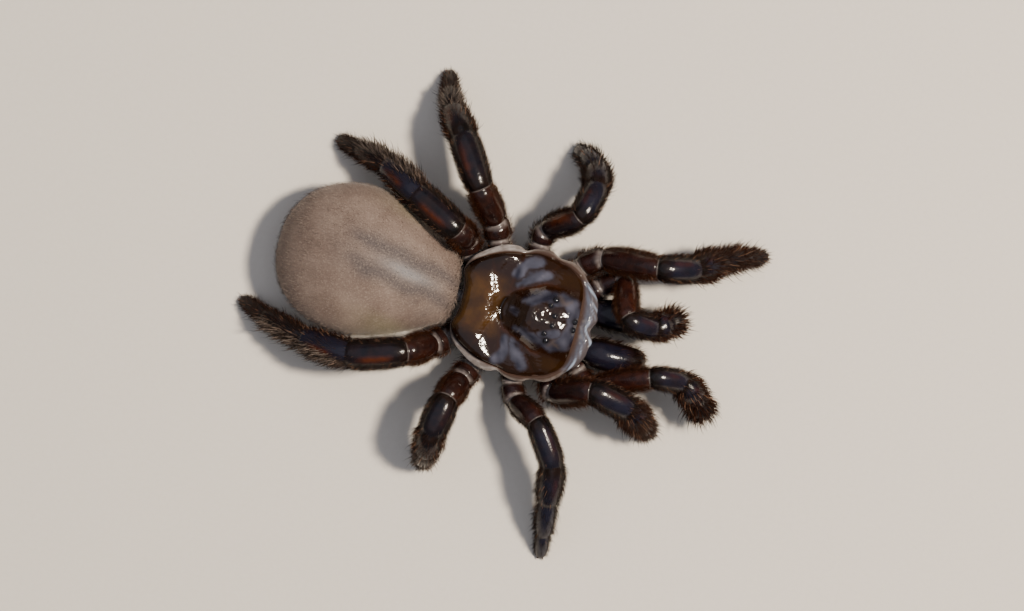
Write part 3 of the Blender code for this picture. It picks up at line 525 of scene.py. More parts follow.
breast_shell = breast_cuticle()
turn = np.linspace(0, math.tau, BREAST_SIDES, endpoint=False)
rows, dark = [], []
for share in np.linspace(0, 1, BREAST_ROWS + 1)[1:]:
    x, y = breast_outline(share, turn)
    pits = sum(bell(np.hypot(x - pit_x, np.abs(y) - pit_y), PIT_WIDTH) for pit_x, pit_y in BREAST_PITS)
    z = BREAST_SIDE - (BREAST_SIDE - BREAST_LOW) * (1 - share ** BREAST_ROUNDNESS) + PIT_DEPTH * pits
    rows.append(np.stack([x, y, z], axis=1))
    dark.append(np.maximum(pits, smooth(0.85, 1.0, share) * np.ones_like(x)))
for share, rise in ((1.0, 0.3), (0.9, 0.6)):
    rows.append(np.stack([*breast_outline(share, turn), np.full_like(turn, BREAST_SIDE + rise)], axis=1))
    dark.append(np.ones_like(turn))
breast = skin_piece("breast_shell", np.array(rows), ((BREAST_X, 0, BREAST_LOW), (BREAST_X, 0, BREAST_TOP)),
                    {"dark": np.array(dark)})
dress(breast, breast_shell, "breast_shell", "breast_plate")

lip_grid, lip_poles = bead(LIP_CENTRE, LIP_HALF, LIP_RINGS, BREAST_SIDES)
lip = skin_piece("lip_plate", lip_grid, lip_poles,
                 {"dark": bell(lip_grid[..., 0] - LIP_CENTRE[0] - LIP_HALF[0], 0.3)})
dress(lip, breast_shell, "breast_shell")

low, high = np.array(breast_outline(1.0, headings)), np.array(round_centre(rim_radius))
rows = []
for share, height in WALL:
    folds = WALL_FOLD_DEPTH * np.sin(WALL_FOLDS * headings + 5 * share)
    folds = folds * between((0.0, 0.4), (0.6, 0.85), share)
    rows.append(np.stack([*(low + (high - low) * share), height + folds], axis=1))
# The wall takes a little of the membrane's painted pale reflection
side_wall = skin_piece("side_wall_skin", np.array(rows), ((BREAST_X, 0, 2.4), (BREAST_X, 0, 4.9)),
                       {"strip": 0.0, "clear": 0.3, "thick": 0.25})
dress(side_wall, membrane, "breast_shell", "breast_plate")

# The waist is a short soft stalk, ringed by folds, that carries the abdomen.
WAIST_START, WAIST_STOP, WAIST_RADIUS = (-5.2, 0.0, 3.3), (-7.5, 0.25, 3.75), 0.62
WAIST_RINGS, WAIST_SIDES, WAIST_FOLDS, WAIST_FOLD_SHARE = 30, 40, 7, 0.07


def loft(centres, tangents, half_widths, half_heights, sides):
    """Grid of elliptical rings square to a path, and the unit vectors across and up each one."""
    across = np.cross(tangents[0], (0.0, 0.0, 1.0))
    turn = np.linspace(0, math.tau, sides, endpoint=False)
    grid, up_vectors = [], []
    for centre, tangent, half_width, half_height in zip(centres, tangents, half_widths, half_heights):
        across = across - tangent * np.dot(across, tangent)
        across = across / np.linalg.norm(across)
        raised = np.cross(across, tangent)
        grid.append(centre + np.outer(half_width * np.cos(turn), across)
                    + np.outer(half_height * np.sin(turn), raised))
        up_vectors.append(raised)
    return np.array(grid), np.array(up_vectors)


def unit_tangents(centres):
    """Unit vector along a path at each of its points."""
    tangents = np.gradient(centres, axis=0)
    return tangents / np.linalg.norm(tangents, axis=1)[:, None]


shares = np.linspace(0, 1, WAIST_RINGS)
centres = np.array(WAIST_START) + np.outer(shares, np.subtract(WAIST_STOP, WAIST_START))
radii = WAIST_RADIUS * (1 + WAIST_FOLD_SHARE * np.sin(shares * WAIST_FOLDS * math.tau))
grid, _ = loft(centres, unit_tangents(centres), radii, radii, WAIST_SIDES)
waist = skin_piece("waist_skin", grid, (WAIST_START, WAIST_STOP),
                   {"strip": 0.3, "clear": 0.0, "thick": 0.5})
dress(waist, membrane, "breast_shell", "waist")

# The abdomen is a soft bag of skin, round and full, with no hard plates on top. Its skin is
# grey-brown with a darker, cooler band along the middle and a painted pale sheen on that band,
# painted shade on its low sides and rear, and short down gives it a velvet look.
ABDOMEN_LENGTH, ABDOMEN_HALF_WIDTH, ABDOMEN_HALF_HEIGHT = 18.65, 7.5, 5.35
ABDOMEN_SIDE_START, ABDOMEN_SIDE_SHIFT = 0.5, 0.6
ABDOMEN_MIDDLE_HEIGHT, ABDOMEN_END_DROP = 4.87, 0.75
PLAN_PEAK, PLAN_FULLNESS, SIDE_PEAK, SIDE_FULLNESS = 1.31, 0.40, 1.15, 0.45
FRONT_BLUNTNESS, FRONT_REACH = 1.0, 0.05
ABDOMEN_SIDES, ABDOMEN_RINGS = 220, 170
SKIN_RISE = 0.05                      # height of its soft lumps
# The colours run along a slanted middle line. Spots: x, place off the line, half sizes
LINE_X, LINE_Y, LINE_SLOPE = -7.6, 0.15, 0.195
BAND_HALF_WIDTH, BAND_END = 1.2, (9.5, 13.5)
DARK_SPOTS = [(-17.0, -0.8, 3.2, 2.2), (-10.0, -2.4, 2.2, 1.6)]
# Painted pale sheen on top, along the middle line: x, half length, half width
PAINTED_SHEEN_X, PAINTED_SHEEN_HALF_LENGTH, PAINTED_SHEEN_HALF_WIDTH = -12.2, 2.6, 0.6
OLIVE_X, OLIVE_HALF_LENGTH, OLIVE_START = -12.5, 3.2, (4.2, 6.2)
# Soft edges, in mm: the top by height, and the painted shade of the low sides by height and of the rear by x
UPPER_EDGE, SIDE_EDGE, REAR_EDGE = (3.0, 7.5), (1.6, 5.4), (-22.0, -25.5)
# Two pairs of pale covers of the book lungs, under the front
LUNG_COVERS, LUNG_MIDDLE, LUNG_HALF = [(-9.4, 2.6), (-11.6, 2.9)], 0.6, (0.75, 1.3)
# Length of the down in mm, and what it gains at the rear, underneath and above the waist
DOWN_LENGTH, DOWN_REAR, DOWN_BELOW, DOWN_FRONT = 0.3, 0.12, 0.12, 0.25
DOWN_REAR_EDGE, DOWN_FRONT_EDGE = (-19.0, -24.0), (-8.6, -7.3)


def abdomen_point(along, angle):
    """Point of the abdomen; along runs 0 to 1 from the waist, angle turns from the left side up."""
    along, angle = np.broadcast_arrays(along, angle)
    inside = np.clip(along, 0.0, 1.0)
    blunt = 1 + FRONT_BLUNTNESS * np.exp(-inside / FRONT_REACH)
    swell = blunt * np.maximum(np.sin(math.pi * inside ** PLAN_PEAK), 0) ** PLAN_FULLNESS
    rise = blunt ** 0.5 * np.maximum(np.sin(math.pi * inside ** SIDE_PEAK), 0) ** SIDE_FULLNESS
    middle = ABDOMEN_SIDE_START + ABDOMEN_SIDE_SHIFT * smooth(0.0, 0.5, along)
    level = ABDOMEN_MIDDLE_HEIGHT - ABDOMEN_END_DROP * (1 - np.sin(math.pi * along))
    return np.stack([WAIST_END - ABDOMEN_LENGTH * along,
                     middle + ABDOMEN_HALF_WIDTH * swell * np.cos(angle),
                     level + ABDOMEN_HALF_HEIGHT * rise * np.sin(angle)], axis=-1)


def abdomen_colour(tree):
    """Colour of the abdomen's skin and of its down, from the same marks."""
    base = tinted(tree, "#67574f", "#78685f", (grain(tree, 3.0, 2.0), 0.35, 0.65, 0.0, 1.0))
    base = tinted(tree, base, "#7c7858", "olive", 0.5)
    base = tinted(tree, base, "#474142", "band", 0.85)
    # Painted pale sheen on top of the middle band
    base = tinted(tree, base, "#868a8f", "painted_sheen", 0.55)
    # Painted shade on the low sides and towards the rear
    base = tinted(tree, base, "#33221a", "edge")
    return tinted(tree, base, "#a8906a", "lung")


def abdomen_skin():
    """Soft unhardened skin under short down, mostly dull, with a fine pale grain painted in
    as the glints of the down."""
    material, tree, shader = finish("velvet abdomen skin", roughness=0.72, ior=1.4, sheen_weight=0.12,
                                    sheen_roughness=0.4)
    fine = grain(tree, 0.16, 2.0)
    # Painted glints: a fine pale grain laid over the skin's colour
    base = tinted(tree, abdomen_colour(tree), "#9f9085", (fine, 0.5, 0.72, 0.0, 0.35))
    cover(tree, shader, base, fine, 0.03)
    return material


def unwrap(shares, sides):
    """Place of each point of a skin on a square unwrap of its surface, for a map of its colours."""
    across = np.arange(sides) / sides
    return np.stack(np.broadcast_arrays(0.02 + 0.95 * shares[:, None], 0.02 + 0.95 * across, 0.0), axis=2)


along = 0.5 - 0.5 * np.cos(math.pi * np.arange(1, ABDOMEN_RINGS)[:, None] / ABDOMEN_RINGS)
turn = np.linspace(-math.pi / 2, 1.5 * math.pi, ABDOMEN_SIDES, endpoint=False)
grid = abdomen_point(along, turn)
lie = abdomen_point(along + 0.004, turn) - abdomen_point(along - 0.004, turn)
lie /= np.linalg.norm(lie, axis=2)[..., None] + 1e-9
lumps = SKIN_RISE * unevenness(grid, 1.5) * smooth(0.3, 1.0, grid[..., 2])
grid[..., 2] = np.maximum(grid[..., 2] + lumps, 0.0)
x, y, z = grid[..., 0], grid[..., 1], grid[..., 2]
off_line = y - (LINE_Y + LINE_SLOPE * (LINE_X - x))
ragged = 0.5 * unevenness(grid, 2.2)
upper = smooth(*UPPER_EDGE, z)
band = bell(np.abs(off_line + ragged) - BAND_HALF_WIDTH, 1.0)
band = band * (1 - smooth(*BAND_END, WAIST_END - x + ragged))
spots = np.max([oval(x - spot_x, off_line - off, half_length, half_width)
                for spot_x, off, half_length, half_width in DARK_SPOTS], axis=0)
band = np.maximum(band, 0.55 * spots * (0.7 + 0.6 * unevenness(grid, 1.3))) * upper
# Painted pale sheen, an oval on the middle line, only on top
painted_sheen = oval(x - PAINTED_SHEEN_X, off_line + 0.3 * ragged, PAINTED_SHEEN_HALF_LENGTH, PAINTED_SHEEN_HALF_WIDTH) * upper
olive = bell(x - OLIVE_X + ragged, OLIVE_HALF_LENGTH) * smooth(*OLIVE_START, np.abs(off_line))
# Painted shade, darkest low on the sides and weaker over the rear end
edge = 0.9 * (1 - smooth(*SIDE_EDGE, z + ragged)) + 0.35 * smooth(*REAR_EDGE, x)
lung = sum(1 - smooth(0.8, 1.1, np.hypot((x - lung_x) / LUNG_HALF[0],
                                         (np.abs(y - LUNG_MIDDLE) - lung_y) / LUNG_HALF[1]))
           for lung_x, lung_y in LUNG_COVERS) * (1 - smooth(2.5, 3.5, z))
down_length = DOWN_LENGTH + DOWN_REAR * smooth(*DOWN_REAR_EDGE, x) + DOWN_BELOW * (1 - upper)
down_length = down_length + DOWN_FRONT * smooth(*DOWN_FRONT_EDGE, x)
marks = {"band": band, "painted_sheen": painted_sheen, "olive": olive * smooth(2.0, 5.0, z), "edge": np.clip(edge, 0, 1),
         "lung": lung, "lie": lie, "hair_density": smooth(0.35, 0.9, z), "hair_length": down_length * MM,
         "unwrap": unwrap(along[:, 0], ABDOMEN_SIDES)}
abdomen = skin_piece("abdomen_skin", grid, (abdomen_point(0.0, 0.0), abdomen_point(1.0, 0.0)), marks)
dress(abdomen, abdomen_skin(), "abdomen_skin", "abdomen")

# The down is short fine hair, rooted in the skin and lying back along it, longest at the rear.
PATCH = 0.003                         # size of one hair's patch on the colour map
HAIR_BOW, HAIR_ROOT = 0.13, 0.12      # how far a hair of length 1 bows out, and is sunk in the skin
# Length of a hair by chance: the shortest, the even spread above it, and the reach of the few long ones
SHORTEST, EVEN_SPREAD, LONG_REACH, LONG_POWER = 0.6, 0.5, 0.6, 4.0


def coat_tree():
    """Geometry Nodes tree that roots bent, tapered hairs in a skin, leaning along its lie."""
    tree = bpy.data.node_groups.new("hair coat", "GeometryNodeTree")
    for name, kind in (("Skin", "Geometry"), ("Hairs per square metre", "Float"), ("Slenderness", "Float"),
                       ("Length factor", "Float"), ("Rise", "Float"), ("Stray", "Float"), ("Seed", "Int"),
                       ("Hair material", "Material")):
        tree.interface.new_socket(name, in_out="INPUT", socket_type=f"NodeSocket{kind}")
    tree.interface.new_socket("Coat", in_out="OUTPUT", socket_type="NodeSocketGeometry")
    given = tree.nodes.new("NodeGroupInput").outputs
    mark = {name: add(tree, "GeometryNodeInputNamedAttribute", {"Name": name}, data_type=kind)
            for name, kind in (("hair_density", "FLOAT"), ("hair_length", "FLOAT"),
                               ("lie", "FLOAT_VECTOR"), ("unwrap", "FLOAT_VECTOR"))}

    # One hair of length 1, three-sided, bowed away from the skin
    hair = add(tree, "GeometryNodeMeshCone", {"Vertices": 3, "Side Segments": 3, "Radius Top": 0.0,
                                              "Radius Bottom": given["Slenderness"], "Depth": 1.0},
               fill_type="NGON")
    part = add(tree, "ShaderNodeSeparateXYZ", {0: add(tree, "GeometryNodeInputPosition")}).outputs
    sideways = add(tree, "ShaderNodeMath", {0: part["Y"], 1: 0.5, 2: part["X"]}, operation="MULTIPLY_ADD")
    sideways = add(tree, "ShaderNodeMath", {0: sideways, 1: given["Slenderness"]}, operation="DIVIDE")
    patch_x = add(tree, "ShaderNodeMath", {0: sideways, 1: PATCH / 2}, operation="MULTIPLY")
    patch_y = add(tree, "ShaderNodeMath", {0: part["Z"], 1: PATCH}, operation="MULTIPLY")
    patch = add(tree, "ShaderNodeCombineXYZ", {"X": patch_x, "Y": patch_y})
    hair = add(tree, "GeometryNodeStoreNamedAttribute", {"Geometry": hair, "Name": "patch", "Value": patch},
               data_type="FLOAT_VECTOR", domain="POINT")
    half_turn = add(tree, "ShaderNodeMath", {0: part["Z"], 1: math.pi}, operation="MULTIPLY")
    arch = add(tree, "ShaderNodeMath", {0: half_turn}, operation="SINE")
    bow = add(tree, "ShaderNodeMath", {0: arch, 1: HAIR_BOW}, operation="MULTIPLY")
    bent = add(tree, "ShaderNodeCombineXYZ", {"X": bow, "Z": -HAIR_ROOT})
    hair = add(tree, "GeometryNodeSetPosition", {"Geometry": hair, "Offset": bent})

    # Roots on the skin, each with its own chance, direction and length
    density = add(tree, "ShaderNodeMath", {0: mark["hair_density"], 1: given["Hairs per square metre"]},
                  operation="MULTIPLY")
    spread = add(tree, "GeometryNodeDistributePointsOnFaces",
                 {"Mesh": given["Skin"], "Density": density, "Seed": given["Seed"]})
    chance = add(tree, "FunctionNodeRandomValue", {"Seed": 5}, data_type="FLOAT")
    roots = add(tree, "GeometryNodeStoreNamedAttribute",
                {"Geometry": spread.outputs["Points"], "Name": "chance", "Value": chance},
                data_type="FLOAT", domain="POINT")
    wander = add(tree, "FunctionNodeRandomValue", {0: (-1.0, -1.0, -1.0), 1: (1.0, 1.0, 1.0), "Seed": 9},
                 data_type="FLOAT_VECTOR")
    normal = spread.outputs["Normal"]
    lift = add(tree, "ShaderNodeVectorMath", {0: normal, "Scale": given["Rise"]}, operation="SCALE")
    heading = add(tree, "ShaderNodeVectorMath", {0: lift, 1: mark["lie"]}, operation="ADD")
    stray = add(tree, "ShaderNodeVectorMath", {0: wander, "Scale": given["Stray"]}, operation="SCALE")
    heading = add(tree, "ShaderNodeVectorMath", {0: heading, 1: stray}, operation="ADD")
    turned = add(tree, "FunctionNodeAlignRotationToVector", {"Vector": heading}, axis="Z")
    turned = add(tree, "FunctionNodeAlignRotationToVector", {"Rotation": turned, "Vector": normal},
                 axis="X", pivot_axis="Z")
    vary = add(tree, "FunctionNodeRandomValue", {2: 0.0, 3: 1.0, "Seed": 13}, data_type="FLOAT")
    few = add(tree, "ShaderNodeMath", {0: vary, 1: LONG_POWER}, operation="POWER")
    even = add(tree, "ShaderNodeMath", {0: vary, 1: EVEN_SPREAD, 2: SHORTEST}, operation="MULTIPLY_ADD")
    factor = add(tree, "ShaderNodeMath", {0: few, 1: LONG_REACH, 2: even}, operation="MULTIPLY_ADD")
    factor = add(tree, "ShaderNodeMath", {0: factor, 1: given["Length factor"]}, operation="MULTIPLY")
    length = add(tree, "ShaderNodeMath", {0: mark["hair_length"], 1: factor}, operation="MULTIPLY")
    hairs = add(tree, "GeometryNodeInstanceOnPoints",
                {"Points": roots, "Instance": hair, "Rotation": turned, "Scale": length})
    coat = add(tree, "GeometryNodeRealizeInstances", {0: hairs})

    # Each hair's place on the map, and none of it below the floor
    where = add(tree, "GeometryNodeInputNamedAttribute", {"Name": "patch"}, data_type="FLOAT_VECTOR")
    where = add(tree, "ShaderNodeVectorMath", {0: mark["unwrap"], 1: where}, operation="ADD")
    coat = add(tree, "GeometryNodeStoreNamedAttribute", {"Geometry": coat, "Name": "OFBake", "Value": where},
               data_type="FLOAT2", domain="CORNER")
    end = add(tree, "ShaderNodeSeparateXYZ", {0: add(tree, "GeometryNodeInputPosition")}).outputs
    level = add(tree, "ShaderNodeMath", {0: end["Z"], 1: 0.0}, operation="MAXIMUM")
    above = add(tree, "ShaderNodeCombineXYZ", {"X": end["X"], "Y": end["Y"], "Z": level})
    coat = add(tree, "GeometryNodeSetPosition", {"Geometry": coat, "Position": above})
    coat = add(tree, "GeometryNodeSetShadeSmooth", {"Geometry": coat})
    coat = add(tree, "GeometryNodeSetMaterial", {"Geometry": coat, "Material": given["Hair material"]})
    add(tree, "NodeGroupOutput", {0: coat})
    return tree


hair_coat = coat_tree()


def grow_coat(name, skin, material, slot, **settings):
    """Coat piece of hairs grown on a skin, as a plain mesh. settings are the tree's inputs."""
    coat = bpy.data.objects.new(name, skin.data.copy())
    bpy.context.scene.collection.objects.link(coat)
    growth = coat.modifiers.new("coat", "NODES")
    growth.node_group = hair_coat
    settings = {"length_factor": 1.0, "hair_material": material, **settings}
    for item in hair_coat.interface.items_tree:
        key = item.name.lower().replace(" ", "_")
        if item.in_out == "INPUT" and key in settings:
            growth[item.identifier] = settings[key]
    bpy.context.view_layer.update()
    grown = bpy.data.meshes.new_from_object(coat.evaluated_get(bpy.context.evaluated_depsgraph_get()))
    coat.modifiers.remove(growth)
    coat.data = grown
    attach(coat, "root")


def down_hair():
    """Fine hair, a little glossy, with half of it painted paler as glints, least on the painted
    shade low on the sides, which gives a grain of small glints.
    """
    material, tree, shader = finish("abdomen down", roughness=0.45, ior=1.55)
    skin = abdomen_colour(tree)
    # Painted glints on the paler hairs, fading out on the painted shade of the low sides and rear
    lighter = tinted(tree, skin, "#c0b2a6", ("edge", 0.1, 0.7, 0.5, 0.0))
    cover(tree, shader, tinted(tree, skin, lighter, ("chance", 0.5, 1.0, 0.0, 1.0)))
    return material


down = down_hair()
grow_coat("abdomen_down", abdomen, down, "abdomen_skin", hairs_per_square_metre=18e6, slenderness=0.035,
          rise=0.55, stray=0.4, seed=3)

# The spinnerets are two pairs of soft fingers under the rear end, jointed and hairy, which
# squeeze out the silk. The outer pair is long and has three joints.
# Share along the abdomen, degrees off its lowest line, length, radius, joints
SPINNERETS = {"outer": (0.905, 17.0, 1.5, 0.4, 3), "inner": (0.925, 6.0, 0.7, 0.27, 1)}
SPINNERET_GIRTH = [(0.0, 0.9), (0.15, 1.0), (0.5, 0.9), (0.85, 0.6), (1.0, 0.3)]
SPINNERET_RINGS, SPINNERET_SIDES = 40, 32
SPINNERET_ROOT, SPINNERET_DROP, SPINNERET_BEND = 0.1, 0.45, 0.4
SPINNERET_ASIDE, SPINNERET_RISE = 0.12, 0.25         # how it points, for 1 backwards
SPINNERET_DIP, SPINNERET_HAIR = 0.1, 0.35            # narrowing at a joint; hair length in mm


def spinneret_skin():
    """Soft skin, paler than the abdomen, dull, with fine wrinkles across."""
    material, tree, shader = finish("spinneret skin", roughness=0.55, ior=1.45)
    base = tinted(tree, "#54443a", "#86725f", (grain(tree, 0.3), 0.3, 0.7, 0.0, 1.0))
    cover(tree, shader, base, grain(tree, 0.12), 0.02)
    return material


soft_finger = spinneret_skin()
for row, (along, spread, length, radius, joints) in SPINNERETS.items():
    for side, sign in (("left", 1), ("right", -1)):
        angle = math.radians(-90 + sign * spread)
        place = abdomen_point(along, angle)
        lengthwise = abdomen_point(along + 0.01, angle) - place
        outward = np.cross(abdomen_point(along, angle + 0.01) - place, lengthwise)
        outward *= -np.sign(outward[2]) / np.linalg.norm(outward)
        backward = np.array([-1.0, sign * SPINNERET_ASIDE, SPINNERET_RISE])
        backward /= np.linalg.norm(backward)
        shares = np.linspace(0, 1, SPINNERET_RINGS)
        drop = SPINNERET_ROOT + SPINNERET_DROP * np.minimum(shares / SPINNERET_BEND, 1.0)
        centres = place + np.outer(drop, outward) + np.outer(length * shares, backward)
        tangents = unit_tangents(centres)
        girth = radius * np.interp(shares, *zip(*SPINNERET_GIRTH))
        girth = girth * (1 - SPINNERET_DIP * np.abs(np.cos(shares * joints * math.pi)) ** 12)
        grid, _ = loft(centres, tangents, girth, girth, SPINNERET_SIDES)
        marks = {"lie": tangents[:, None], "hair_density": 1.0, "hair_length": SPINNERET_HAIR * MM,
                 "unwrap": unwrap(shares, SPINNERET_SIDES)}
        finger = skin_piece(f"spinneret_{row}_{side}_skin", grid, (centres[0], centres[-1]), marks)
        dress(finger, soft_finger, "spinneret_skin", f"spinneret_{row}_{side}")
        grow_coat(f"spinneret_{row}_{side}_hair", finger, down, "spinneret_skin",
                  hairs_per_square_metre=45e6, slenderness=0.03, rise=0.7, stray=0.3, seed=7)

# The jaws are the two stout, swollen basal joints in front of the head: thick glossy shells
# with stubby digging teeth on their front edge. A curved fang folds back under each.
# Along each jaw: x, y, z, half width, half height; along each fang: x, y, z, radius
CHELICERA = [(6.0, 1.8, 3.55, 0.8, 0.8), (7.0, 1.95, 3.8, 1.25, 1.35), (8.3, 2.05, 4.05, 1.5, 1.8),
             (9.6, 2.08, 3.9, 1.55, 1.85), (11.1, 1.95, 3.6, 1.4, 1.6), (12.3, 1.8, 3.4, 1.15, 1.25),
             (12.95, 1.75, 3.3, 0.75, 0.8)]
FANG = [(12.1, 1.8, 1.45, 0.5), (11.6, 1.75, 1.0, 0.48), (10.6, 1.65, 0.75, 0.4),
        (9.6, 1.55, 0.75, 0.3), (8.8, 1.45, 0.85, 0.16)]
JAW_ROUNDING = 0.78                   # share along it where its blunt front end starts
TEETH_START, FRINGE_START = (11.9, 12.3), (9.2, 11.5)
TOOTH_LENGTH, TOOTH_LIE = 0.34, (1.0, 0.0, 0.25)
FANG_ROWS, FANG_SIDES = 50, 32
JAW_ROWS, JAW_SIDES = 70, 56


def leg_cuticle():
    """Thick hardened cuticle, near black, with a blue cast on top that is a painted reflection of
    the sky, and clear enough to turn amber brown where it is thin. It is glossy where bare and
    duller under the bristles, and its joints show a band of soft pale membrane."""
    material, tree, shader = finish("hardened leg cuticle", roughness=0.2, ior=1.4)
    mottle = grain(tree, 0.8, 3.0)
    base = tinted(tree, "#090504", "#1a0e0a", (mottle, 0.35, 0.65, 0.0, 1.0))
    # Painted reflection of the sky, laid on the tops of the limbs and jaws
    base = tinted(tree, base, "#1d2033", "painted_sheen", 0.7)
    base = tinted(tree, base, "#4f240d", "amber", (mottle, 0.3, 0.6, 0.5, 1.0))
    base = tinted(tree, base, "#8c8482", "membrane")
    feed(tree, shader.inputs["Roughness"], strength(tree, ("dull", 0.0, 1.0, 0.2, 0.6)))
    cover(tree, shader, base, grain(tree, 0.2, 2.0), 0.02)
    return material


def bristle_hair():
    """Stiff dark hair, some of it lighter and a few hairs painted pale as glints, which gives a soft
    edge with a few bright streaks.
    It is browner along the thighs, and greyish on part of the hind legs."""
    material, tree, shader = finish("dark bristle hair", roughness=0.4, ior=1.24)
    base = tinted(tree, "#0f0603", "#3a1c0c", "chance")
    base = tinted(tree, base, "#4d2c18", "pale")
    base = tinted(tree, base, "#0d0605", "black")
    # A few hairs painted pale as glints
    base = tinted(tree, base, "#93705a", ("chance", 0.93, 0.96, 0.0, 0.75))
    cover(tree, shader, tinted(tree, base, "#857a71", "grey", ("chance", 0.2, 0.8, 0.0, 1.0)))
    return material


leg_shell, bristle = leg_cuticle(), bristle_hair()


def curve_through(values, shares):
    """Smooth curve through rows of values, read at shares of its whole run."""
    values = np.array(values, dtype=float)
    values = np.vstack([2 * values[0] - values[1], values, 2 * values[-1] - values[-2]])
    place = np.clip(shares, 0, 1) * (len(values) - 3)
    index = np.minimum(place.astype(int), len(values) - 4)
    t = (place - index)[:, None]
    a, b, c, d = (values[index + step] for step in range(4))
    return 0.5 * (2 * b + (c - a) * t + (2 * a - 5 * b + 4 * c - d) * t ** 2
                  + (3 * b - a - 3 * c + d) * t ** 3)


for side, sign in (("left", 1), ("right", -1)):
    stations = curve_through(CHELICERA, np.linspace(0, 1, JAW_ROWS))
    rounding = (np.linspace(0, 1, JAW_ROWS) - JAW_ROUNDING) / (1 - JAW_ROUNDING)
    closing = np.sqrt(np.clip(1 - rounding.clip(0, 1) ** 2, 0.02, 1))
    centres = stations[:, :3] * (1, sign, 1)
    tangents = unit_tangents(centres)
    grid, _ = loft(centres, tangents, stations[:, 3] * closing, stations[:, 4] * closing, JAW_SIDES)
    x, y, z = grid[..., 0], grid[..., 1], grid[..., 2]
    over_axis = z - stations[:, 2][:, None]
    inward = stations[:, 1][:, None] - sign * y
    teeth = smooth(*TEETH_START, x) * smooth(0.0, 0.5, over_axis)
    fringe = 0.4 * (1 - smooth(-0.6, 0.2, over_axis)) + 0.5 * smooth(*FRINGE_START, x)
    fringe = np.maximum(fringe, 0.8 * smooth(0.6, 1.2, inward) * (1 - smooth(0.3, 0.9, over_axis)))
    marks = {"membrane": 0.0, "grey": 0.0, "pale": 0.0, "black": 0.3,
             # Painted reflection of the sky along the top of the jaw
             "painted_sheen": 0.6 * smooth(0.9, 1.4, over_axis) * (1 - smooth(10.5, 12.0, x)),
             "amber": 0.5 * (1 - smooth(-0.4, 0.5, over_axis)),
             "dull": 0.6 * (1 - smooth(-0.2, 0.6, over_axis)), "lie": tangents[:, None],
             "hair_density": np.clip(teeth + fringe, 0, 1), "hair_length": (0.3 + 0.35 * (1 - teeth)) * MM,
             "unwrap": unwrap(np.arange(JAW_ROWS) / JAW_ROWS, JAW_SIDES)}
    jaw = skin_piece(f"jaw_{side}_shell", grid, (centres[0], centres[-1]), marks)
    dress(jaw, leg_shell, "dark_shell", f"chelicera_{side}")
    grow_coat(f"jaw_{side}_bristles", jaw, bristle, "dark_shell", hairs_per_square_metre=24e6,
              slenderness=0.045, rise=0.7, stray=0.3, seed=11)

    # Digging teeth on the front edge, short stout hairs of the same horn
    marks = {**marks, "hair_density": teeth, "hair_length": TOOTH_LENGTH * MM,
             "lie": np.broadcast_to(TOOTH_LIE, grid.shape)}
    tooth_bed = skin_piece("tooth_bed", grid, (centres[0], centres[-1]), marks)
    grow_coat(f"jaw_{side}_teeth", tooth_bed, bristle, "dark_shell", hairs_per_square_metre=9e6,
              slenderness=0.2, rise=0.9, stray=0.1, seed=17)
    bpy.data.objects.remove(tooth_bed, do_unlink=True)


def fang_cuticle():
    """The hardest cuticle of the body, worn smooth: red-black and polished like horn."""
    material, tree, shader = finish("horn fang cuticle", roughness=0.1, ior=1.56)
    base = tinted(tree, "#120604", "#2c0f07", (grain(tree, 0.9), 0.3, 0.7, 0.0, 1.0))
    cover(tree, shader, base, grain(tree, 0.2), 0.006)
    return material


horn = fang_cuticle()
for side, sign in (("left", 1), ("right", -1)):
    shares = np.linspace(0, 1, FANG_ROWS)
    stations = curve_through(FANG, shares)
    centres = stations[:, :3] * (1, sign, 1)
    radii = np.maximum(stations[:, 3] * (1 - 0.9 * shares ** 6), 0.02)
    grid, _ = loft(centres, unit_tangents(centres), radii * 0.92, radii, FANG_SIDES)
    fang = skin_piece(f"fang_{side}_horn", grid, (centres[0] + (0.2, 0, 0.25), centres[-1]))
    dress(fang, horn, "fang_shell", f"fang_{side}")

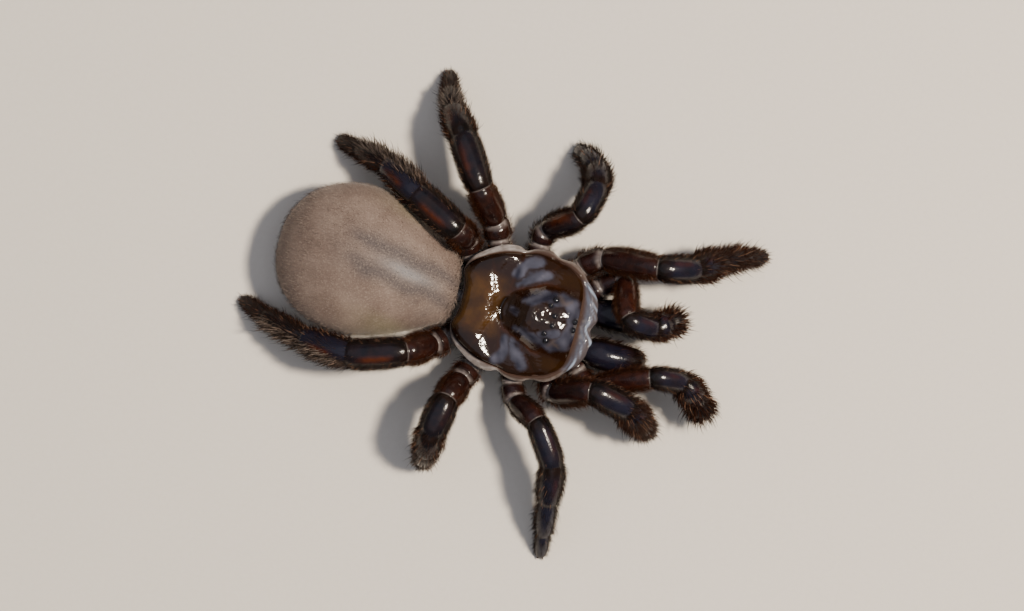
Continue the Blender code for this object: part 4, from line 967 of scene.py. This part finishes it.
# The eight legs and two palps are jointed tubes of thick glossy cuticle, with soft membrane
# between the joints. The shell is nearly bare on the thighs and knees, and thickly bristled
# from the shins outwards. One skin runs the whole length of each limb.
LIMBS = {
    "leg_1_left": [(2.1, 2.55, 3.0), (4.4, 6.1, 3.1), (6.1, 7.4, 4.2), (11.9, 7.7, 7.8),
                   (15.4, 8.5, 5.9), (17.5, 9.85, 3.7), (20.1, 11.0, 1.7), (22.3, 11.6, -0.15)],
    "leg_2_left": [(-0.4, 3.35, 3.0), (-0.25, 7.3, 3.1), (-0.15, 8.8, 4.0), (3.0, 10.6, 7.6),
                   (3.85, 14.0, 6.2), (3.3, 16.0, 4.1), (1.9, 17.1, 2.0), (0.95, 17.3, -0.15)],
    "leg_3_left": [(-2.9, 2.95, 3.0), (-4.45, 6.6, 3.1), (-5.15, 8.3, 4.0), (-7.4, 10.9, 7.6),
                   (-10.4, 15.7, 6.3), (-12.2, 18.1, 3.9), (-12.9, 20.0, 1.9), (-13.45, 21.8, -0.15)],
    "leg_4_left": [(-4.75, 1.95, 3.0), (-6.85, 4.55, 3.1), (-7.65, 5.85, 4.0), (-8.35, 6.3, 8.1),
                   (-13.35, 8.95, 7.2), (-17.2, 11.05, 4.8), (-20.3, 11.8, 2.3), (-22.6, 12.45, -0.15)],
    "leg_1_right": [(2.1, -2.55, 3.0), (4.1, -5.9, 3.1), (4.6, -7.2, 4.0), (8.3, -5.7, 8.1),
                    (12.25, -6.6, 6.6), (13.8, -7.7, 4.4), (14.6, -8.25, 2.3), (15.1, -8.65, -0.15)],
    "leg_2_right": [(-0.4, -3.35, 3.0), (0.5, -7.2, 3.1), (1.2, -8.8, 3.9), (3.75, -9.9, 7.5),
                    (6.45, -13.85, 6.8), (6.85, -17.8, 4.6), (7.3, -21.15, 2.0), (7.6, -23.45, -0.15)],
    "leg_3_right": [(-2.9, -2.95, 3.0), (-4.0, -6.6, 3.1), (-4.65, -8.1, 4.0), (-5.5, -10.1, 7.5),
                    (-6.1, -13.7, 7.2), (-6.2, -15.9, 5.2), (-6.25, -16.8, 2.6), (-6.25, -17.1, -0.15)],
    "leg_4_right": [(-4.75, -1.95, 3.0), (-7.1, -4.4, 3.1), (-8.3, -5.3, 3.9), (-10.4, -6.6, 7.6),
                    (-16.05, -8.35, 6.7), (-21.0, -7.85, 4.4), (-25.5, -6.6, 2.1), (-28.15, -5.7, -0.15)],
    "palp_left": [(3.9, 1.3, 3.0), (6.75, 4.6, 3.1), (8.9, 6.0, 4.1), (9.95, 2.0, 8.2),
                  (12.8, 1.7, 6.5), (14.1, 2.6, 5.2), (15.4, 3.4, 4.0)],
    "palp_right": [(3.9, -1.3, 3.0), (6.7, -4.4, 3.1), (8.1, -5.5, 3.75), (13.9, -2.9, 7.15),
                   (16.9, -2.7, 5.6), (18.7, -3.9, 4.2), (20.1, -5.7, 2.8)],
}
# Radius at the root, the belly and the end of each segment, for a limb of stoutness 1
GIRTH = {"coxa": (0.85, 1.15, 1.15), "trochanter": (1.1, 1.2, 1.02), "femur": (0.94, 1.22, 1.03),
         "patella": (1.1, 1.3, 1.2), "tibia": (1.17, 1.2, 0.93),
         "metatarsus": (0.82, 0.9, 0.64), "tarsus": (0.6, 0.64, 0.44),
         "palp_tarsus": (0.92, 1.08, 0.72)}
STOUTNESS = {"leg_1": 1.02, "leg_2": 1.0, "leg_3": 1.18, "leg_4": 1.16, "palp": 0.88}
COXA_STOUTNESS = 0.97
# The front limbs are swollen from the tibia outwards
SWOLLEN_SEGMENTS = ("tibia", "metatarsus", "tarsus", "palp_tarsus")
SWELLING = {"leg_1": 1.2, "leg_2": 1.1, "palp": 1.3}
HEIGHT_TO_WIDTH = 1.06
CORNER = 0.3                          # share of a segment that bends into the next one
BELLY_POWER = 0.75                    # below 1 the segments are fuller towards their ends
SKIN_SHARE = 0.97                     # the skin lies just inside the solids
LIMB_SIDES = 44
SEGMENT_RINGS = {"coxa": 26, "trochanter": 26, "femur": 34, "patella": 30, "tibia": 30,
                 "metatarsus": 24, "tarsus": 22, "palp_tarsus": 30}
# At the far end of each segment: half length in mm of the soft membrane, and its girth's share
MEMBRANE = {"coxa": (0.3, 0.94), "trochanter": (0.26, 0.93), "femur": (0.05, 0.95),
            "patella": (0.001, 1.0), "tibia": (0.001, 1.0), "metatarsus": (0.001, 1.0)}
NECK_START, NECK_END = 0.26, 0.2      # half lengths in mm of the narrowing on each side of a joint
FLARE, FLARE_PLACE, FLARE_WIDTH = 0.3, 0.5, 0.22     # swelling of a shell just before its joint
KNEE_CUFF, CUFF_PLACE, CUFF_WIDTH = 0.05, 0.2, 0.12  # raised edge of the knee's shell
FOLD_HEIGHT, FOLD_LENGTH = 0.045, 0.3                # folds of the soft membrane
# Amber of the thighs, and of the stripe along the knee and shin
THIGH_AMBER, ROOT_AMBER = {"palp": 0.22}, 0.15
CLEAR_THIGH = "leg_2_left"            # the one that shows light through its thigh
SHIN_STRIPE = {"leg_4": 0.9, "leg_3_left": 0.6, "leg_3_right": 0.1}
# Share of the painted sky reflection on top, for the third and fourth pairs
PAINTED_SHEEN_SHARE = {"leg_3": 0.4, "leg_4": 0.4}
# Coat of each segment: density on top and on the sides, 1 for a full coat, hair length in mm,
# and how far up the sides it reaches, where 1 is the very top
COAT = {"coxa": (0.05, 0.6, 0.6, 0.5), "trochanter": (0.05, 0.8, 0.6, 0.5),
        "femur": (0.01, 1.8, 0.55, 0.64), "patella": (0.02, 2.3, 0.42, 0.64),
        "tibia": (0.2, 1.4, 0.72, 0.65), "metatarsus": (0.8, 1.3, 0.75, 0.85),
        "tarsus": (1.2, 1.4, 0.62, 0.9), "palp_tarsus": (1.0, 1.2, 0.85, 0.85)}
BARE_FOOT_REACH = 0.64                # the feet of the second pair are bare on top
# Each limb's own share of the hair length, of the coat on top, and of that on top of its shin
COAT_LENGTH = {"leg_1": 1.1, "leg_2": 0.78, "leg_2_left": 1.05, "leg_3": 0.9, "leg_4": 1.0, "palp": 1.05}
COAT_ON_TOP = {"leg_1": 1.0, "leg_2": 0.3, "leg_3": 0.6, "leg_4": 0.8, "palp": 1.0}
SHIN_TOP = {"leg_3_left": 0.4, "leg_4_left": 0.35, "leg_4_right": 0.4, "palp_left": 0.35,
            "palp_right": 0.5}
# Grey of the hairs on the outer side of the hind shins, and round the third pair's ankles
HIND_GREY, ANKLE_GREY, FOOT_GREY = 0.7, {"leg_3_left": 0.9, "leg_3_right": 0.7}, 0.6


def limb_point(joints, segment, share):
    """Place and unit tangent on one segment of a limb; its ends bend into its neighbours."""
    def bend(corner, t):
        before = joints[corner] - (joints[corner] - joints[corner - 1]) * CORNER
        after = joints[corner] + (joints[corner + 1] - joints[corner]) * CORNER
        place = before * (1 - t) ** 2 + joints[corner] * (2 * t * (1 - t)) + after * t ** 2
        return place, (joints[corner] - before) * (1 - t) + (after - joints[corner]) * t
    if share < CORNER and segment > 0:
        place, tangent = bend(segment, 0.5 + 0.5 * share / CORNER)
    elif share > 1 - CORNER and segment + 2 < len(joints):
        place, tangent = bend(segment + 1, 0.5 - 0.5 * (1 - share) / CORNER)
    else:
        place = joints[segment] + (joints[segment + 1] - joints[segment]) * share
        tangent = joints[segment + 1] - joints[segment]
    return place, tangent / np.linalg.norm(tangent)


def segment_girth(name, share, stoutness):
    """Radius of a segment at a share of its length, before its joints are shaped."""
    root, belly, end = GIRTH[name]
    even = root + (end - root) * share
    return stoutness * (even + (belly - (root + end) / 2) * math.sin(math.pi * share) ** BELLY_POWER)


def limb_rings(joints, names, stoutness, swelling_out):
    """Rings of a limb's skin: place, tangent, radius, and what each ring's marks need."""
    rings = []
    thickness = {name: COXA_STOUTNESS if name == "coxa" else stoutness for name in names}
    for name in SWOLLEN_SEGMENTS:
        thickness[name] = stoutness * swelling_out
    for index, name in enumerate(names):
        length = np.linalg.norm(joints[index + 1] - joints[index])
        count = SEGMENT_RINGS[name]
        for step in range(count):
            share = 0.5 - 0.5 * math.cos(math.pi * (step + 0.5) / count)
            place, tangent = limb_point(joints, index, share)
            girth = thickness[name]
            if name == "tibia":
                girth *= 1 + (1 / swelling_out - 1) * (1 - smooth(0.0, 0.5, share))
            radius = segment_girth(name, share, girth)
            to_start, to_end = share * length, (1 - share) * length
            soft = 0.0
            if index > 0:
                before = names[index - 1]
                band, dip = MEMBRANE[before]
                valley = dip * min(segment_girth(before, 1.0, thickness[before]),
                                   segment_girth(name, 0.0, girth))
                radius += (valley - radius) * bell(to_start, NECK_START)
                soft = max(soft, bell(to_start, band))
                if name == "patella":
                    radius *= 1 + KNEE_CUFF * bell(to_start - CUFF_PLACE, CUFF_WIDTH)
            if index + 1 < len(names):
                after = names[index + 1]
                band, dip = MEMBRANE[name]
                valley = dip * min(segment_girth(name, 1.0, thickness[name]),
                                   segment_girth(after, 0.0, thickness[after]))
                radius *= 1 + FLARE * (1 - dip) * bell(to_end - FLARE_PLACE, FLARE_WIDTH)
                radius += (valley - radius) * bell(to_end, NECK_END)
                soft = max(soft, bell(to_end, band))
            elif to_end < radius:
                radius *= math.sqrt(max(1 - (1 - to_end / radius) ** 2, 0.03))
            if name in ("coxa", "trochanter", "femur") and soft > 0.05:
                from_joint = to_end if to_end < to_start else to_start
                radius += FOLD_HEIGHT * soft * math.cos(math.tau * from_joint / FOLD_LENGTH)
            rings.append((place, tangent, radius * SKIN_SHARE, soft, name, share))
    return rings


def shell_marks(limb, kind, at):
    """Colour marks of a limb's shell: amber where it is thin, a painted blue reflection of the sky on top,
    pale at the joints.
    """
    knee_or_shin = at.part["patella"] | at.part["tibia"]
    amber = np.where(at.part["coxa"] | at.part["trochanter"], ROOT_AMBER, 0.0)
    amber = np.where(at.part["femur"], THIGH_AMBER.get(kind, 0.1) + 0.2 * np.abs(at.aside), amber)
    if limb == CLEAR_THIGH:
        amber = np.where(at.part["femur"], oval(at.share - 0.6, at.aside + 0.5, 0.3, 0.5), amber)
    stripe = bell(at.aside + 0.4, 0.2) * (at.over > 0) * between((0.15, 0.4), (0.6, 0.9), at.share)
    strength = SHIN_STRIPE.get(limb, SHIN_STRIPE.get(kind, 0.25))
    amber = np.where(knee_or_shin, strength * stripe, amber)
    # Painted reflection of the sky on the top of each limb, strongest on the knees and shins
    painted_sheen = smooth(0.6, 0.88, at.over) * (0.6 + 0.4 * unevenness(at.grid, 1.2))
    painted_sheen = painted_sheen * np.where(knee_or_shin, smooth(0.1, 0.3, at.share), 0.3) * PAINTED_SHEEN_SHARE.get(kind, 0.9)
    if kind == "leg_4":
        painted_sheen = np.where(at.part["tibia"], 0.7 * smooth(0.5, 0.85, at.over - 0.2 * at.outer), painted_sheen)
    if kind == "leg_2":
        painted_sheen = np.where(at.part["metatarsus"] | at.part["tarsus"], 0.8 * smooth(0.3, 0.7, at.over), painted_sheen)
    creases = np.stack([at.aside * 3, at.over * 3, 6 * at.share * np.ones_like(at.over)], axis=2)
    folds = 0.55 + 0.45 * unevenness(creases, 1.0)
    folds = folds * np.where(at.part["patella"] | (at.part["femur"] & (at.share > 0.5)), 0.5, 1.0)
    return {"amber": amber, "painted_sheen": painted_sheen, "membrane": at.soft * smooth(0.0, 0.7, at.over) * folds}


def coat_marks(limb, kind, at):
    """Marks of a limb's coat: how dense and long the hairs are, their colour, and the dull shell."""
    density, length = 0.0, 0.0
    for name, here in at.part.items():
        on_top, on_sides, hair_length, reach_up = COAT[name]
        level = at.over
        if name == "patella":
            on_top = on_top + 0.6 * smooth(0.75, 1.0, at.share)
        elif name == "tibia":
            on_top = (on_top + smooth(0.05, 0.55, at.share)) * SHIN_TOP.get(limb, 1.0)
            level = at.over - 0.35 * at.outer if kind == "leg_4" else at.over
        elif name == "tarsus":
            hair_length = hair_length * (1 - 0.3 * smooth(0.2, 1.0, at.share))
        if kind == "leg_2" and name in ("metatarsus", "tarsus"):
            reach_up = BARE_FOOT_REACH
        on_top = on_top * COAT_ON_TOP[kind]
        beside = 1 - smooth(reach_up - 0.2, reach_up + 0.15, level)
        density = np.where(here, on_top + (on_sides - on_top) * beside, density)
        length = np.where(here, hair_length * COAT_LENGTH.get(limb, COAT_LENGTH[kind]), length)
    density = density * (1 - 0.9 * at.soft * (at.over > 0)) * smooth(0.03, 0.14, at.grid[..., 2])
    grey = 0.0
    if kind == "leg_4":
        shin = at.part["tibia"] | at.part["metatarsus"]
        along_shin = smooth(0.0, 0.3, np.where(at.part["tibia"], at.share, 1.0))
        grey = np.where(shin, HIND_GREY * smooth(-0.1, 0.5, at.outer) * (0.3 + 0.7 * along_shin), 0.0)
        length = np.where(shin, length * (0.8 + 0.5 * smooth(-0.2, 0.6, at.outer) * along_shin), length)
    if kind == "leg_3":
        on_foot = 0.9 * (1 - smooth(0.4, 0.9, at.share)) if limb == "leg_3_left" else FOOT_GREY
        grey = np.where(at.part["metatarsus"], on_foot, 0.0)
        grey = np.where(at.part["tibia"], ANKLE_GREY[limb] * smooth(0.75, 1.0, at.share), grey)
    return {"hair_density": density, "hair_length": length * MM, "grey": grey,
            "pale": 0.5 * (at.part["femur"] | at.part["trochanter"] | at.part["coxa"]),
            "black": np.where(at.part["patella"], 0.75, 0.7 if kind == "leg_2" else 0.1),
            "dull": np.maximum(smooth(0.5, 1.3, density), 1 - smooth(0.2, 0.55, at.over))}


for limb, joints in LIMBS.items():
    joints = np.array(joints)
    kind, side = limb.rsplit("_", 1)
    is_palp = kind == "palp"
    names = ["coxa", "trochanter", "femur", "patella", "tibia"]
    names += ["palp_tarsus"] if is_palp else ["metatarsus", "tarsus"]
    rings = limb_rings(joints, names, STOUTNESS[kind], SWELLING.get(kind, 1.0))
    places, tangents, radii, soft, ring_names, shares = (np.array(values) for values in zip(*rings))
    grid, raised = loft(places, tangents, radii, radii * HEIGHT_TO_WIDTH, LIMB_SIDES)
    grid[..., 2] = np.maximum(grid[..., 2], 0.0)
    turn = np.linspace(0, math.tau, LIMB_SIDES, endpoint=False)
    top_turn = np.arctan2(raised[:, 2], np.cross(tangents, raised)[:, 2])[:, None]
    over, aside = np.cos(turn - top_turn), np.sin(top_turn - turn)    # over is 1 on top, -1 beneath
    at = SimpleNamespace(grid=grid, over=over, aside=aside, share=shares[:, None], soft=soft[:, None],
                         outer=aside if side == "left" else -aside,   # 1 away from the abdomen
                         part={name: (ring_names == name)[:, None] for name in names})
    marks = {**shell_marks(limb, kind, at), **coat_marks(limb, kind, at), "lie": tangents[:, None],
             "unwrap": unwrap(np.arange(len(grid)) / len(grid), LIMB_SIDES)}
    nodes = ["coxa", "femur", "end"] if is_palp else ["coxa", "femur", "tibia", "foot"]
    tip = (places[-1][0], places[-1][1], max(places[-1][2], 0.0))
    skin = skin_piece(f"{limb}_skin", grid, (places[0], tip), marks)
    dress(skin, leg_shell, "dark_shell", *(f"{limb}_{node}" for node in nodes))
    grow_coat(f"{limb}_bristles", skin, bristle, "dark_shell", hairs_per_square_metre=40e6,
              slenderness=0.038, rise=0.95, stray=0.3, seed=23)
    grow_coat(f"{limb}_spines", skin, bristle, "dark_shell", hairs_per_square_metre=3e6,
              slenderness=0.03, length_factor=1.5, rise=1.1, stray=0.35, seed=29)

# The claws are a pair of hooks of black horn at the end of each foot, and one on each palp.
CLAW = [(0.0, 0.2, 0.0), (0.5, 0.25, 0.0), (0.5, 0.3, -0.08), (0.7, 0.3, -0.3)]   # ahead, aside, up
CLAW_RADIUS, CLAW_TIP_RADIUS, CLAW_ROWS, CLAW_SIDES = 0.11, 0.012, 16, 14
CLAW_ROOT_HEIGHT, CLAW_ROOT_DEPTH, PALP_CLAW_RISE = 0.4, 0.4, 0.1
for limb, joints in LIMBS.items():
    is_palp = limb.startswith("palp")
    tip, before = np.array(joints[-1]), np.array(joints[-2])
    forward = (tip - before) * (1, 1, 0)
    forward /= np.linalg.norm(forward)
    beside = np.array([-forward[1], forward[0], 0.0])
    height = tip[2] + PALP_CLAW_RISE if is_palp else CLAW_ROOT_HEIGHT
    root = np.array([tip[0], tip[1], height]) - forward * CLAW_ROOT_DEPTH
    for number, sign in enumerate((0.0,) if is_palp else (-1.0, 1.0)):
        shares = np.linspace(0, 1, CLAW_ROWS)
        path = [root + forward * ahead + beside * (sign * aside) + (0, 0, up) for ahead, aside, up in CLAW]
        centres = curve_through(path, shares)
        radii = np.maximum(CLAW_RADIUS * (1 - shares ** 1.5), CLAW_TIP_RADIUS)
        grid, _ = loft(centres, unit_tangents(centres), radii * 0.8, radii, CLAW_SIDES)
        grid[..., 2] = np.maximum(grid[..., 2], 0.0)
        claw = skin_piece(f"{limb}_claw_{number + 1}", grid, (centres[0], centres[-1]))
        dress(claw, horn, "fang_shell", f"{limb}_end" if is_palp else f"{limb}_foot")

# The stage is a plain sheet of pale paper, lit by a soft lamp from the head's side, a wide
# cool panel overhead, and an even pale room. The camera looks straight down.
FLOOR_SIZE = 3.0
CAMERA_TURN = math.radians(14.4)
CAMERA_HEIGHT, SUBJECT_HEIGHT = 0.42, 0.005
IMAGE_WIDTH, IMAGE_HEIGHT, MM_PER_PIXEL = 1024, 611, 0.1
SHIELD_PIXEL = (525.0, 313.8)         # where the body's zero point is in the image

floor_mesh = bpy.data.meshes.new("floor")
half = FLOOR_SIZE / 2
corners = [(-half, -half, 0), (half, -half, 0), (half, half, 0), (-half, half, 0)]
floor_mesh.from_pydata(corners, [], [(0, 1, 2, 3)])
floor = bpy.data.objects.new("floor", floor_mesh)
bpy.context.scene.collection.objects.link(floor)
paper, tree, shader = finish("matt background paper", roughness=0.9)
cover(tree, shader, tinted(tree, "#d9d2c8", "#dfd9d0", grain(tree, 0.5)))
floor.data.materials.append(paper)

right = np.array([math.cos(CAMERA_TURN), math.sin(CAMERA_TURN), 0.0])
up = np.array([-math.sin(CAMERA_TURN), math.cos(CAMERA_TURN), 0.0])
off_centre = ((IMAGE_WIDTH / 2 - SHIELD_PIXEL[0]) * right
              - (IMAGE_HEIGHT / 2 - SHIELD_PIXEL[1]) * up) * MM_PER_PIXEL
aim = (off_centre + BODY_ORIGIN) * MM
lens_data = bpy.data.cameras.new("camera")
lens_data.sensor_width = 36
lens_data.lens = 36 * CAMERA_HEIGHT / (IMAGE_WIDTH * MM_PER_PIXEL * MM)
lens_data.clip_start = 0.01
camera = bpy.data.objects.new("camera", lens_data)
camera.location = (aim[0], aim[1], CAMERA_HEIGHT + SUBJECT_HEIGHT)
camera.rotation_euler = (0, 0, CAMERA_TURN)
bpy.context.scene.collection.objects.link(camera)
bpy.context.scene.camera = camera


def lamp(name, direction, distance, size, power, tint):
    """Square soft lamp that faces the subject from a direction in the image's own axes."""
    light = bpy.data.lights.new(name, "AREA")
    light.size = size
    light.energy = power
    light.color = colour(tint)[:3]
    holder = bpy.data.objects.new(name, light)
    toward = direction[0] * right + direction[1] * up + direction[2] * np.array([0, 0, 1.0])
    toward /= np.linalg.norm(toward)
    holder.location = aim + toward * distance
    holder.rotation_euler = Vector(toward).to_track_quat("Z", "Y").to_euler()
    bpy.context.scene.collection.objects.link(holder)


lamp("key_lamp", (0.5, 0.05, 0.87), 0.6, 0.07, 6.5, "#fff0dc")
lamp("sky_panel", (-0.1, 0.1, 1.0), 1.2, 2.2, 7.0, "#e0e8ff")
world = bpy.data.worlds.new("pale room")
world.use_nodes = True
world.node_tree.nodes["Background"].inputs["Color"].default_value = colour("#ece9e6")
world.node_tree.nodes["Background"].inputs["Strength"].default_value = 0.22
bpy.context.scene.world = world
